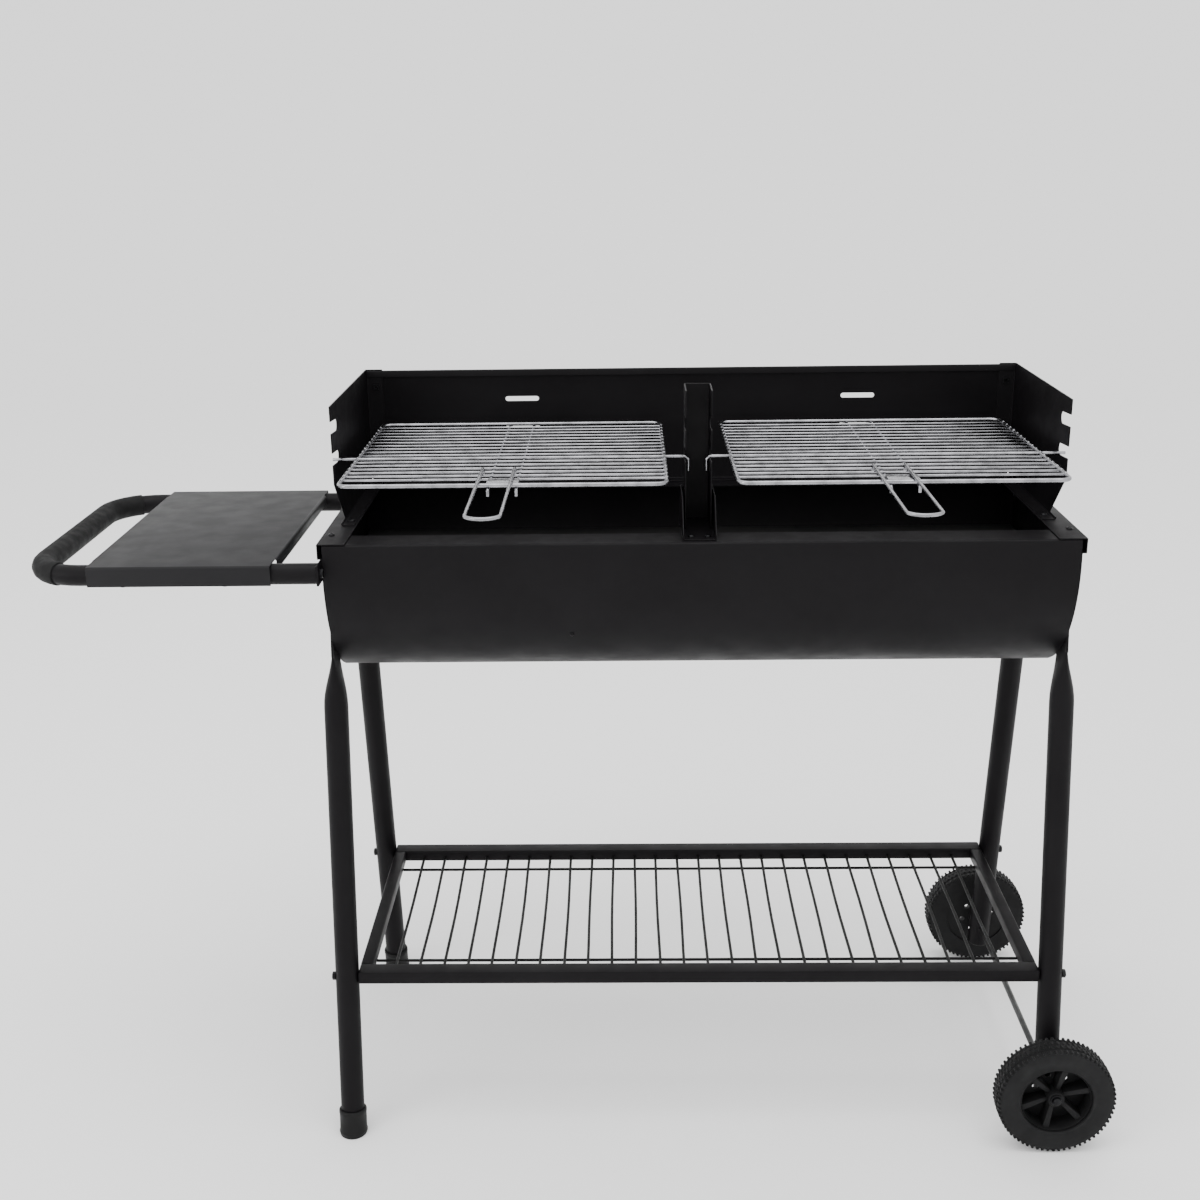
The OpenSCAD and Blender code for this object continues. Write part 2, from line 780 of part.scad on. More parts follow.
module table_tray() {
    color([0.3, 0.3, 0.32]) {
        translate([-tray_out, -tray_d / 2, tray_z - tray_t]) cube([tray_len, tray_d, tray_t]);
        for (y = [-tray_d / 2, tray_d / 2 - tray_t])
            translate([-tray_out, y, tray_z - tray_lip]) cube([tray_len, tray_t, tray_lip]);
        for (x = [-tray_out, -tray_in - tray_t])
            translate([x, -arm_y + tube_d / 2 + 2, tray_z - tray_side_lip])
                cube([tray_t, 2 * arm_y - tube_d - 4, tray_side_lip]);
    }
}

// The closed end of the push handle with diameter d, from angle skip of each bend onwards
module handle_end(d, skip) {
    bend_x = handle_x - tube_bend;
    bend_y = arm_y - tube_bend;
    translate([0, 0, tube_z]) {
        rod([-handle_x, -bend_y, 0], [-handle_x, bend_y, 0], d);
        translate([-bend_x, bend_y, 0]) wire_bend(tube_bend, d, 90 + skip, 90 - skip);
        translate([-bend_x, -bend_y, 0]) wire_bend(tube_bend, d, 180, 90 - skip);
    }
}

// The whole tube with diameter d: two arms that start at distance start, and the closed end
module handle_run(d, start) {
    for (side = [-1, 1])
        rod([-start, side * arm_y, tube_z], [tube_bend - handle_x, side * arm_y, tube_z], d);
    handle_end(d, 0);
}

module table_tube() {
    color([0.12, 0.12, 0.12]) difference() {
        handle_run(tube_d, arm_start);
        handle_run(tube_d - 2 * tube_wall, arm_start - 1);
        for (x = tray_screw_x, side = [-1, 1])
            translate([-x, side * arm_y, tube_z - 20]) cylinder(r = screw_hole_r, h = 40);
    }
}

module handle_grip() {
    color([0.08, 0.08, 0.08]) difference() {
        handle_end(tube_d + 2 * grip_t, grip_skip);
        handle_end(tube_d, grip_skip - 1);
    }
}

module table_bracket() {
    color([0.12, 0.12, 0.12]) difference() {
        translate([-end_x - bracket_t, -arm_y - tube_d / 2, tube_z - tube_d / 2])
            cube([bracket_t, 2 * arm_y + tube_d, tube_d]);
        for (y = [-arm_y, arm_y, bracket_bolt_y[0], bracket_bolt_y[1]])
            translate([-end_x - 10, y, tube_z]) rotate([0, 90, 0]) cylinder(r = bolt_hole_r, h = 20);
    }
}

module table_plugs() {
    color([0.07, 0.07, 0.07]) for (side = [-1, 1])
        translate([-arm_start - plug_len, side * arm_y, tube_z]) rotate([0, 90, 0]) difference() {
            cylinder(d = tube_d - 2 * tube_wall, h = plug_len);
            translate([0, 0, 2]) cylinder(r = bolt_r, h = plug_len);
        }
}

// ---- Fasteners ----

module both_ends() {
    children();
    mirror([1, 0, 0]) children();
}

module leg_bolts() {
    color([0.6, 0.6, 0.6]) both_ends() leg_bolt_places()
        translate([-leg_x + end_x + leg_flat_t, 0, 0]) mirror([1, 0, 0]) bolt_x(leg_bolt_len);
}
module leg_nuts() {
    color([0.6, 0.6, 0.6]) both_ends() leg_bolt_places()
        translate([-leg_x + end_x - sheet, 0, 0]) mirror([1, 0, 0]) nut_x();
}

module shelf_bolts() {
    color([0.6, 0.6, 0.6]) both_ends() for (side = [-1, 1])
        translate([leg_x + leg_r, side * shelf_bolt_y, shelf_z - rail_h / 2])
            mirror([1, 0, 0]) bolt_x(shelf_bolt_len);
}
module shelf_nuts() {
    color([0.6, 0.6, 0.6]) both_ends() for (side = [-1, 1])
        translate([rail_x - rail_wall, side * shelf_bolt_y, shelf_z - rail_h / 2])
            mirror([1, 0, 0]) nut_x();
}

module windshield_screws() {
    color([0.6, 0.6, 0.6]) {
        both_ends() for (z = wing_screw_z)
            translate([wing_screw_x, shield_y, z]) rotate([-90, 0, 0]) screw_down(sheet_screw_len);
        both_ends() for (y = side_foot_y)
            translate([side_foot_x, y, rim_top + sheet]) screw_down(foot_screw_len);
        for (x = back_foot_x) translate([x, back_foot_y, rim_top]) screw_down(sheet_screw_len);
        for (x = [-10, 10]) translate([x, -post_screw_y, rim_top]) screw_down(sheet_screw_len);
    }
}

module square_nut() {
    difference() {
        translate([-square_nut_w / 2, -square_nut_w / 2, 0])
            cube([square_nut_w, square_nut_w, square_nut_h]);
        translate([0, 0, -1]) cylinder(r = screw_r + 0.02, h = 5);
    }
}

module windshield_nuts() {
    color([0.6, 0.6, 0.6]) {
        both_ends() for (z = wing_screw_z)
            translate([wing_screw_x, shield_y - 2 * sheet - square_nut_h, z])
                rotate([-90, 0, 0]) square_nut();
        both_ends() for (y = side_foot_y)
            translate([side_foot_x, y, rim_z - square_nut_h]) square_nut();
        for (x = back_foot_x) translate([x, back_foot_y, rim_z - sheet - square_nut_h]) square_nut();
        for (x = [-10, 10]) translate([x, -post_screw_y, rim_z - sheet - square_nut_h]) square_nut();
    }
}

module rim_screws() {
    color([0.5, 0.5, 0.5]) for (x = [-rim_screw_x, rim_screw_x], y = [-rim_screw_y, rim_screw_y])
        translate([x, y, rim_top]) screw_down(sheet_screw_len);
}

module table_bolts() {
    color([0.6, 0.6, 0.6]) {
        for (side = [-1, 1]) translate([-end_x, side * arm_y, tube_z]) mirror([1, 0, 0])
            bolt_x(arm_bolt_len);
        for (y = bracket_bolt_y) translate([-end_x - bracket_t, y, tube_z])
            bolt_x(bracket_bolt_len);
    }
}
module table_nuts() {
    color([0.6, 0.6, 0.6]) for (y = bracket_bolt_y)
        translate([-end_x + sheet, y, tube_z]) nut_x();
}

module tray_screws() {
    color([0.6, 0.6, 0.6]) for (x = tray_screw_x, side = [-1, 1])
        translate([-x, side * arm_y, tube_z - tube_d / 2]) rotate([180, 0, 0]) screw_down(tube_d);
}

place() bowl_shell();
place() bowl_end_left();
place() bowl_end_right();
place() windshield_back();
place() windshield_side_left();
place() windshield_side_right();
place() centre_post();
place() grate_ledge_left();
place() grate_ledge_right();
place() grate_crossbar();
place() charcoal_grate_left();
place() charcoal_grate_right();
place() grid_left();
place() grid_right();
place() grid_spines_left();
place() grid_spines_right();
place() grid_arms_left();
place() grid_arms_right();
place() grid_handle_left();
place() grid_handle_right();
place() leg_front_left();
place() leg_back_left();
place() leg_front_right();
place() leg_back_right();
place() foot_cap_front();
place() foot_cap_back();
place() leg_plugs();
place() shelf_rail_front();
place() shelf_rail_back();
place() shelf_rail_left();
place() shelf_rail_right();
place() shelf_mesh();
place() axle();
place() wheel_front();
place() wheel_back();
place() axle_washers();
place() axle_nuts();
place() table_tray();
place() table_tube();
place() table_bracket();
place() table_plugs();
place() handle_grip();
place() leg_bolts();
place() leg_nuts();
place() shelf_bolts();
place() shelf_nuts();
place() windshield_screws();
place() windshield_nuts();
place() rim_screws();
place() table_bolts();
place() table_nuts();
place() tray_screws();
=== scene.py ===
"""Looks for a half-barrel charcoal barbecue on a trolley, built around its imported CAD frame.

Lengths in the functions that make pieces are millimetres in the trough's own frame: x along the
trough from its middle, y towards the windshield, z up from the ground. spot() turns them into the
frame's metres.
"""
import math
import random

import bmesh
import bpy
from mathutils import Matrix, Quaternion, Vector


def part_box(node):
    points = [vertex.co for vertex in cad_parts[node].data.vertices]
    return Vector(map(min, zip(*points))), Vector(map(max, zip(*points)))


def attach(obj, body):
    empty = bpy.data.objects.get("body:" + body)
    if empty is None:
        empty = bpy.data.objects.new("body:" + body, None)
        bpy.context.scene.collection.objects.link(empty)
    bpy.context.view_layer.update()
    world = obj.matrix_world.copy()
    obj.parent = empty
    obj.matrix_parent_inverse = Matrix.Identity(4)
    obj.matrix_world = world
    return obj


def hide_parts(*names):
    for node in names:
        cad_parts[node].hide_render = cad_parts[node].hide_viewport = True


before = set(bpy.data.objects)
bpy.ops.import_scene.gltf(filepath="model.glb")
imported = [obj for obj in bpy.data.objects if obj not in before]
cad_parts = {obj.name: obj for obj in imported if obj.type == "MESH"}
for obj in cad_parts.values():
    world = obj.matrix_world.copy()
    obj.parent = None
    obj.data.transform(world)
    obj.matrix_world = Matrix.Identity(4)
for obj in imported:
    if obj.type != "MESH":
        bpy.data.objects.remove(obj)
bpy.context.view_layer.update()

MM = 0.001
TINY = 0.00001  # metres: closer than this, two points are one
CHANCE = random.Random(7)
AXES = {"X": Vector((1, 0, 0)), "Y": Vector((0, 1, 0)), "Z": Vector((0, 0, 1))}

# The trough's place and section, from the frame
shell_low, shell_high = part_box("bowl_shell")
MIDDLE = (shell_low + shell_high) / 2
SHEET = 1.5
RIM_Z = shell_high.z / MM
BOWL_HALF = (shell_high.x - shell_low.x) / 2 / MM
BOWL_R = (shell_high.y - shell_low.y) / 2 / MM
AXIS_Z = shell_low.z / MM + BOWL_R
RIM_FLANGE = 44
END_FLANGE = 34


def spot(x, y, z):
    """A place in metres in the frame from millimetres in the trough's frame."""
    return Vector((MIDDLE.x + x * MM, MIDDLE.y + y * MM, z * MM))


def span(node):
    """A node's lowest and highest corners in millimetres in the trough's frame."""
    low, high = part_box(node)
    shift = Vector((MIDDLE.x, MIDDLE.y, 0))
    return (low - shift) / MM, (high - shift) / MM


# ---------------------------------------------------------------- working on a mesh

def only(*pieces):
    """Select these pieces and nothing else; the first one is active."""
    bpy.ops.object.select_all(action="DESELECT")
    for piece in pieces:
        piece.select_set(True)
    bpy.context.view_layer.objects.active = pieces[0]


def settle(piece):
    """Put a piece's place, turn and size into its mesh."""
    only(piece)
    bpy.ops.object.transform_apply(location=True, rotation=True, scale=True)
    return piece


def started(name):
    """The primitive that was just added, named and settled."""
    piece = bpy.context.object
    piece.name = name
    piece.data.name = name
    return settle(piece)


def pick(piece, test, kind="VERT"):
    """In edit mode, select the vertices, edges or faces for which test is true."""
    bpy.ops.mesh.select_mode(type=kind)
    bpy.ops.mesh.select_all(action="DESELECT")
    mesh = bmesh.from_edit_mesh(piece.data)
    parts = {"VERT": mesh.verts, "EDGE": mesh.edges, "FACE": mesh.faces}[kind]
    for part in parts:
        part.select = test(part)
    mesh.select_flush_mode()
    bmesh.update_edit_mesh(piece.data)


def open_edit(piece):
    only(piece)
    bpy.ops.object.mode_set(mode="EDIT")
    bpy.ops.mesh.select_all(action="SELECT")


def close_edit(outward=True):
    """Leave edit mode, with every face pointing outwards."""
    if outward:
        bpy.ops.mesh.select_mode(type="VERT")
        bpy.ops.mesh.select_all(action="SELECT")
        bpy.ops.mesh.normals_make_consistent(inside=False)
    bpy.ops.object.mode_set(mode="OBJECT")


def push(x, y, z):
    """Extrude what is selected by an offset in metres."""
    bpy.ops.mesh.extrude_region_move(TRANSFORM_OT_translate={"value": (x, y, z)})


def refine(piece, kind, **settings):
    """Add a modifier with these settings and apply it."""
    only(piece)
    modifier = piece.modifiers.new(kind.title(), kind)
    for key, value in settings.items():
        setattr(modifier, key, value)
    bpy.ops.object.modifier_apply(modifier=modifier.name)
    return piece


def soften(piece, width, segments=2, angle=40):
    """Round every edge that is sharper than the angle, width in millimetres."""
    return refine(piece, "BEVEL", width=width * MM, segments=segments, limit_method="ANGLE",
                  angle_limit=math.radians(angle))


def cut(piece, cutter):
    """Take the cutter's shape out of the piece."""
    refine(piece, "BOOLEAN", operation="DIFFERENCE", solver="EXACT", object=cutter)
    bpy.data.objects.remove(cutter)
    return piece


def copy_of(piece, name=None):
    """A copy with its own mesh."""
    twin = piece.copy()
    twin.data = piece.data.copy()
    twin.name = name or piece.name
    bpy.context.scene.collection.objects.link(twin)
    return twin


def joined(name, pieces):
    """Join pieces into one with this name."""
    only(*pieces)
    if len(pieces) > 1:
        bpy.ops.object.join()
    piece = bpy.context.object
    piece.name = name
    piece.data.name = name
    return piece


def mirrored(piece, name):
    """A copy on the other side of the trough's middle, turned right side out again."""
    twin = copy_of(piece, name)
    twin.scale.x = -1
    twin.location.x = 2 * MIDDLE.x
    settle(twin)
    open_edit(twin)
    close_edit()
    return twin


def at_places(piece, places):
    """One joined piece with a copy of piece at each (place in metres, way its +Z points)."""
    twins = []
    for place, way in places:
        twin = copy_of(piece)
        turn = AXES["Z"].rotation_difference(way).to_matrix().to_4x4()
        twin.matrix_world = Matrix.Translation(place) @ turn
        twins.append(twin)
    name = piece.name
    bpy.data.objects.remove(piece)
    whole = joined(name, twins)
    settle(whole)
    return whole


# ---------------------------------------------------------------- wire, tube, sheet and turned parts

def run_wire(name, start, heading, steps, d, sides=12, closed=False):
    """A round wire. A step is a length, or (radius, degrees, axis to turn about), in millimetres."""
    place = start.copy()
    heading = heading.normalized()
    turn = AXES["Z"].rotation_difference(heading).to_euler()
    bpy.ops.mesh.primitive_circle_add(vertices=sides, radius=d / 2 * MM, location=place, rotation=turn,
                                      fill_type="NOTHING" if closed else "NGON")
    piece = started(name)
    open_edit(piece)
    for step in steps:
        if isinstance(step, (int, float)):
            move = heading * step * MM
            push(*move)
            place = place + move
            continue
        radius, degrees, axis = step
        angle = math.radians(degrees)
        centre = place + axis.cross(heading) * radius * MM
        bpy.ops.mesh.spin(steps=max(3, round(degrees / 10)), angle=-angle, center=centre, axis=axis)
        twist = Quaternion(axis, angle)
        place = centre + twist @ (place - centre)
        heading = twist @ heading
    bpy.ops.mesh.select_mode(type="VERT")
    bpy.ops.mesh.select_all(action="SELECT")
    bpy.ops.mesh.remove_doubles(threshold=TINY)
    close_edit()
    return piece


def bent_wire(name, corners, d, bend, sides=12, closed=False):
    """A round wire through corners given in metres, each bent to the same radius in millimetres."""
    corners = [c.copy() for c in corners]
    start = (corners[-1] + corners[0]) / 2 if closed else corners[0]
    stops = corners + [start] if closed else corners[1:]
    steps = []
    place = start
    heading = None
    spare = 0.0
    for here, following in zip(stops, stops[1:] + [None]):
        way = (here - place).normalized()
        heading = heading or way
        length = (here - place).length / MM - spare
        spare = 0.0
        if following is not None:
            onward = (following - here).normalized()
            angle = way.angle(onward)
            if angle > 0.001:
                spare = bend * math.tan(angle / 2)
                steps += [length - spare, (bend, math.degrees(angle), way.cross(onward).normalized())]
                place = here
                continue
        steps.append(length)
        place = here
    return run_wire(name, start, heading, steps, d, sides, closed)


def folded_sheet(name, along, reach, start, degrees, steps, thickness=SHEET):
    """Sheet metal folded up as seen along an axis: flats are lengths, folds are (radius, degrees).

    reach is the sheet's two ends on that axis, start is the first point of its section and degrees
    the way the section sets off. The section lies in (y, z), (x, z) or (x, y).
    """
    lift = {"X": lambda u, v, w: spot(w, u, v), "Y": lambda u, v, w: spot(u, w, v),
            "Z": lambda u, v, w: spot(u, v, w)}[along]
    hand = -1 if along == "Y" else 1
    aim = math.radians(degrees)
    u, v = start
    first = steps[0]
    end_u, end_v = u + math.cos(aim) * first, v + math.sin(aim) * first
    centre = lift((u + end_u) / 2, (v + end_v) / 2, (reach[0] + reach[1]) / 2)
    way = (lift(end_u, end_v, 0) - lift(u, v, 0)).normalized()
    side = AXES[along]
    turn = Matrix((way, side, way.cross(side))).transposed().to_euler()
    bpy.ops.mesh.primitive_plane_add(size=1, location=centre, rotation=turn)
    piece = bpy.context.object
    piece.scale = (first * MM, abs(reach[1] - reach[0]) * MM, 1)
    started(name)
    u, v = end_u, end_v
    open_edit(piece)
    edge_end = lift(u, v, 0)
    pick(piece, lambda vert: (vert.co - edge_end).dot(way) > -0.01 * MM)
    for step in steps[1:]:
        if isinstance(step, (int, float)):
            push(*(lift(u + math.cos(aim) * step, v + math.sin(aim) * step, 0) - lift(u, v, 0)))
            u, v = u + math.cos(aim) * step, v + math.sin(aim) * step
            continue
        radius, fold = step
        sign = 1 if fold > 0 else -1
        centre_u, centre_v = u - math.sin(aim) * radius * sign, v + math.cos(aim) * radius * sign
        bpy.ops.mesh.spin(steps=max(4, round(abs(fold) / 4.5)) if radius > 50 else 5,
                          angle=-math.radians(fold) * hand, center=lift(centre_u, centre_v, 0), axis=side)
        aim += math.radians(fold)
        u, v = centre_u + math.sin(aim) * radius * sign, centre_v - math.cos(aim) * radius * sign
    bpy.ops.mesh.select_all(action="SELECT")
    bpy.ops.mesh.remove_doubles(threshold=TINY)
    close_edit()
    if thickness:
        refine(piece, "SOLIDIFY", thickness=thickness * MM, offset=0)
    return piece


def bisect(piece, place, away):
    """Cut off what lies beyond a plane through place, on the side that away points to."""
    open_edit(piece)
    bpy.ops.mesh.bisect(plane_co=place, plane_no=away, clear_outer=True, use_fill=True)
    close_edit()
    return piece


def turned(name, rings, sides=48, closed=False):
    """A turned part about +Z at the world's middle, from rings of (radius, height) in millimetres."""
    radius, height = rings[0]
    bpy.ops.mesh.primitive_circle_add(vertices=sides, radius=radius * MM, location=(0, 0, height * MM),
                                      fill_type="NOTHING" if closed else "NGON")
    piece = started(name)
    open_edit(piece)
    for next_radius, next_height in (rings[1:] + rings[:1] if closed else rings[1:]):
        push(0, 0, (next_height - height) * MM)
        scale = next_radius / radius
        bpy.ops.transform.resize(value=(scale, scale, 1), center_override=(0, 0, next_height * MM))
        radius, height = next_radius, next_height
    bpy.ops.mesh.select_all(action="SELECT")
    bpy.ops.mesh.remove_doubles(threshold=TINY)
    close_edit()
    return piece


def block(name, low, high, edge=0.4, segments=2):
    """A small bar or plate with rounded edges between two corners in millimetres."""
    low, high = Vector(low), Vector(high)
    middle = (low + high) / 2
    bpy.ops.mesh.primitive_cube_add(size=1, location=spot(*middle))
    bpy.context.object.scale = (high - low) * MM
    piece = started(name)
    return soften(piece, edge, segments) if edge else piece


def dots(name, places, size, flat=0.6):
    """Small weld beads at places in metres."""
    bpy.ops.mesh.primitive_ico_sphere_add(subdivisions=1, radius=size * MM)
    bead = bpy.context.object
    bead.scale = (1, 1, flat)
    bead.name = name
    settle(bead)
    return at_places(bead, [(p, AXES["Z"]) for p in places])


def bar_of(piece, shift):
    """A copy of piece moved by a shift in millimetres."""
    twin = copy_of(piece)
    twin.location = Vector(shift) * MM
    return settle(twin)


# ---------------------------------------------------------------- finishes

def shader_of(name, colour, roughness, metallic=0.0, specular=0.5):
    """A new material with its shader's even values set."""
    material = bpy.data.materials.new(name)
    material.use_nodes = True
    shader = material.node_tree.nodes["Principled BSDF"]
    shader.inputs["Base Color"].default_value = (*colour, 1)
    shader.inputs["Roughness"].default_value = roughness
    shader.inputs["Metallic"].default_value = metallic
    shader.inputs["Specular IOR Level"].default_value = specular
    return material, material.node_tree, shader


def noise(tree, scale, detail=3.0):
    """Noise in the piece's own space; scale is in features to the metre."""
    place = tree.nodes.new("ShaderNodeTexCoord")
    texture = tree.nodes.new("ShaderNodeTexNoise")
    texture.inputs["Scale"].default_value = scale
    texture.inputs["Detail"].default_value = detail
    tree.links.new(place.outputs["Object"], texture.inputs["Vector"])
    return texture.outputs["Fac"]


def ramp(tree, source, low, high):
    """Turn noise between 0.35 and 0.65 into a value between low and high."""
    node = tree.nodes.new("ShaderNodeMapRange")
    node.inputs["From Min"].default_value = 0.35
    node.inputs["From Max"].default_value = 0.65
    node.inputs["To Min"].default_value = low
    node.inputs["To Max"].default_value = high
    tree.links.new(source, node.inputs["Value"])
    return node.outputs["Result"]


def tint(tree, shader, source, dark, light):
    """Blend the shader's colour between two tones by a source from 0 to 1."""
    mix = tree.nodes.new("ShaderNodeMix")
    mix.data_type = "RGBA"
    mix.inputs["A"].default_value = (*dark, 1)
    mix.inputs["B"].default_value = (*light, 1)
    tree.links.new(source, mix.inputs["Factor"])
    tree.links.new(mix.outputs["Result"], shader.inputs["Base Color"])


def raise_by(tree, shader, source, strength, depth):
    """Bump the surface by a source; depth is in millimetres."""
    bump = tree.nodes.new("ShaderNodeBump")
    bump.inputs["Strength"].default_value = strength
    bump.inputs["Distance"].default_value = depth * MM
    tree.links.new(source, bump.inputs["Height"])
    tree.links.new(bump.outputs["Normal"], shader.inputs["Normal"])


def sprayed(name, dark, light, rough_low, rough_high, peel=900, depth=0.05, specular=0.4):
    """Baked paint: orange peel, slow changes of tone and of gloss."""
    material, tree, shader = shader_of(name, dark, rough_low, specular=specular)
    tint(tree, shader, ramp(tree, noise(tree, 9), 0, 1), dark, light)
    tree.links.new(ramp(tree, noise(tree, 30, 5), rough_low, rough_high), shader.inputs["Roughness"])
    raise_by(tree, shader, noise(tree, peel, 2), 0.5, depth)
    return material


def plated(name, dark, light, rough_low, rough_high):
    """Bright plating on drawn wire, with faint draw marks and duller patches."""
    material, tree, shader = shader_of(name, light, rough_low, metallic=1)
    tint(tree, shader, ramp(tree, noise(tree, 60, 4), 0, 1), dark, light)
    tree.links.new(ramp(tree, noise(tree, 140, 5), rough_low, rough_high), shader.inputs["Roughness"])
    raise_by(tree, shader, noise(tree, 1500, 3), 0.25, 0.03)
    return material


def moulded(name, dark, light, rough_low, rough_high, grain=2200, depth=0.04):
    """Moulded plastic or foam with a fine grain."""
    material, tree, shader = shader_of(name, dark, rough_low, specular=0.14)
    tint(tree, shader, ramp(tree, noise(tree, 25, 4), 0, 1), dark, light)
    tree.links.new(ramp(tree, noise(tree, 90, 5), rough_low, rough_high), shader.inputs["Roughness"])
    raise_by(tree, shader, noise(tree, grain, 2), 0.6, depth)
    return material


BLACK_PAINT = sprayed("satin_black_paint", (0.0035, 0.003, 0.0036), (0.0048, 0.0043, 0.005), 0.42, 0.52,
                      specular=0.1)
TRAY_PAINT = sprayed("tray_satin_black", (0.0085, 0.0083, 0.0092), (0.0100, 0.0097, 0.0108), 0.46, 0.53,
                     peel=700, depth=0.08, specular=0.15)
WIRE_PAINT = sprayed("shelf_wire_black", (0.003, 0.003, 0.003), (0.0045, 0.0045, 0.0045), 0.45, 0.55,
                     specular=0.12)
GRATE_PAINT = sprayed("matt_grate_black", (0.005, 0.005, 0.005), (0.009, 0.0085, 0.0085), 0.6, 0.75, peel=500,
                      specular=0.12)
CHROME = plated("bright_wire", (0.21, 0.21, 0.22), (0.36, 0.36, 0.38), 0.18, 0.32)
ZINC = plated("zinc_plate", (0.38, 0.38, 0.39), (0.52, 0.52, 0.53), 0.28, 0.42)
AXLE_STEEL = plated("blackened_rod", (0.05, 0.05, 0.05), (0.09, 0.09, 0.09), 0.35, 0.5)
BLACK_ZINC = plated("black_zinc", (0.012, 0.012, 0.013), (0.024, 0.024, 0.025), 0.34, 0.46)
WHEEL_PLASTIC = moulded("wheel_plastic", (0.0055, 0.0055, 0.0058), (0.009, 0.009, 0.0093), 0.50, 0.66)
CAP_PLASTIC = moulded("black_cap_plastic", (0.004, 0.004, 0.004), (0.006, 0.006, 0.006), 0.42, 0.55)
GRIP_FOAM = moulded("grip_sleeve", (0.0045, 0.0045, 0.0047), (0.007, 0.007, 0.0072), 0.62, 0.78, grain=1300,
                    depth=0.15)


def fit(piece, material, slot, body, *nodes, smooth=35):
    """Give a finished piece its material and body, and hide the CAD nodes it stands for; slot is not used."""
    piece.data.materials.clear()
    piece.data.materials.append(material)
    only(piece)
    bpy.ops.object.shade_smooth_by_angle(angle=math.radians(smooth))
    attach(piece, body)
    if nodes:
        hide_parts(*nodes)
    return piece


def both_sides(piece, name, material, slot, body, node, bodies=False):
    """Fit a right-hand piece and its mirror image; node and body end in the side's name."""
    twin = mirrored(piece, name + "_left")
    piece.name = name + "_right"
    for part, side in ((piece, "right"), (twin, "left")):
        fit(part, material, slot, f"{body}_{side}" if bodies else body, f"{node}_{side}")


# ---------------------------------------------------------------- trough

def trough():
    """The half-barrel: rim flange, wall, round bottom, wall and rim flange in one folded sheet."""
    mid = BOWL_R - SHEET / 2
    fold = 3
    flat = RIM_FLANGE - SHEET / 2 - fold
    wall = RIM_Z - SHEET / 2 - fold - AXIS_Z
    skin = folded_sheet("trough_skin", "X", (-BOWL_HALF + SHEET, BOWL_HALF - SHEET),
                        (fold + flat - mid, RIM_Z - SHEET / 2), 180,
                        [flat, (fold, 90), wall, (mid, 180), wall, (fold, 90), flat])
    rivet_drop = 86
    rivet_y = 1 - math.sqrt(BOWL_R ** 2 - rivet_drop ** 2)
    bpy.ops.mesh.primitive_uv_sphere_add(segments=16, ring_count=8, radius=3.2 * MM,
                                         location=spot(-153, rivet_y, AXIS_Z - rivet_drop))
    rivet = started("plug_rivet")
    fit(joined("trough_skin", [skin, rivet]), BLACK_PAINT, "black_paint", "trolley", "bowl_shell")


def end_plate():
    """An end of the trough: a flat plate, a step out to the rim band and the flange turned in."""
    low, high = span("bowl_end_right")
    band = 18
    bpy.ops.mesh.primitive_circle_add(vertices=96, radius=(BOWL_R - 0.5) * MM, fill_type="NGON",
                                      location=spot(BOWL_HALF - SHEET / 2, 0, AXIS_Z),
                                      rotation=(0, math.pi / 2, 0))
    plate = started("end_plate_right")
    open_edit(plate)
    bpy.ops.mesh.bisect(plane_co=spot(0, 0, AXIS_Z), plane_no=(0, 0, 1), clear_outer=True)
    top = AXIS_Z * MM - TINY
    pick(plate, lambda vert: vert.co.z > top)
    push(0, 0, (high.z - band - AXIS_Z) * MM)
    push((high.x - BOWL_HALF) * MM, 0, 0)
    push(0, 0, (band - SHEET / 2) * MM)
    push(-(END_FLANGE - SHEET / 2) * MM, 0, 0)
    close_edit()
    refine(plate, "SOLIDIFY", thickness=SHEET * MM, offset=0)
    soften(plate, 0.6)
    both_sides(plate, "end_plate", BLACK_PAINT, "black_paint", "trolley", "bowl_end")


# ---------------------------------------------------------------- windshield

GRID_X = 225.5
NOTCH_FRONT = -107.5
NOTCH_TILT = 4.3
LEVEL_STEP = 38
SLOT_Z = 861


def slot_cutter(centre, along, across, length, height, depth, tilt=0):
    """A round-ended cutter: centre in mm, along and across are axes, tilt turns it in their plane."""
    way = Quaternion(AXES[along].cross(AXES[across]), math.radians(tilt)) @ AXES[along]
    side = AXES[along].cross(AXES[across]).cross(way)
    normal = way.cross(side)
    turn = Matrix((way, side, normal)).transposed().to_4x4()
    turn.translation = spot(*centre)
    bpy.ops.mesh.primitive_circle_add(vertices=32, radius=height / 2 * MM, fill_type="NGON")
    cutter = bpy.context.object
    cutter.rotation_euler = (0, 0, math.pi / 32)
    settle(cutter)
    open_edit(cutter)
    shift = (length - height) / 2 * MM
    pick(cutter, lambda vert: vert.co.x > 0)
    bpy.ops.transform.translate(value=(shift, 0, 0))
    pick(cutter, lambda vert: vert.co.x < 0)
    bpy.ops.transform.translate(value=(-shift, 0, 0))
    bpy.ops.mesh.select_all(action="SELECT")
    bpy.ops.transform.translate(value=(0, 0, -depth / 2 * MM))
    push(0, 0, depth * MM)
    close_edit()
    cutter.matrix_world = turn
    return settle(cutter)


def notch_cutters(x):
    """Both height notches, open to the front and rising towards their mouths."""
    low, high = span("grid_arms_right")
    y = (low.y + high.y) / 2 + 1
    z = high.z - 4 + 7.2 - 0.4
    reach, tilt = 40, math.radians(NOTCH_TILT)
    y -= reach * math.cos(tilt)
    cutters = [slot_cutter((x, y, z + level + reach * math.sin(tilt)), "Y", "Z", 94, 14.4, 44, -NOTCH_TILT)
               for level in (0, LEVEL_STEP)]
    return joined("notch_cutters", cutters)


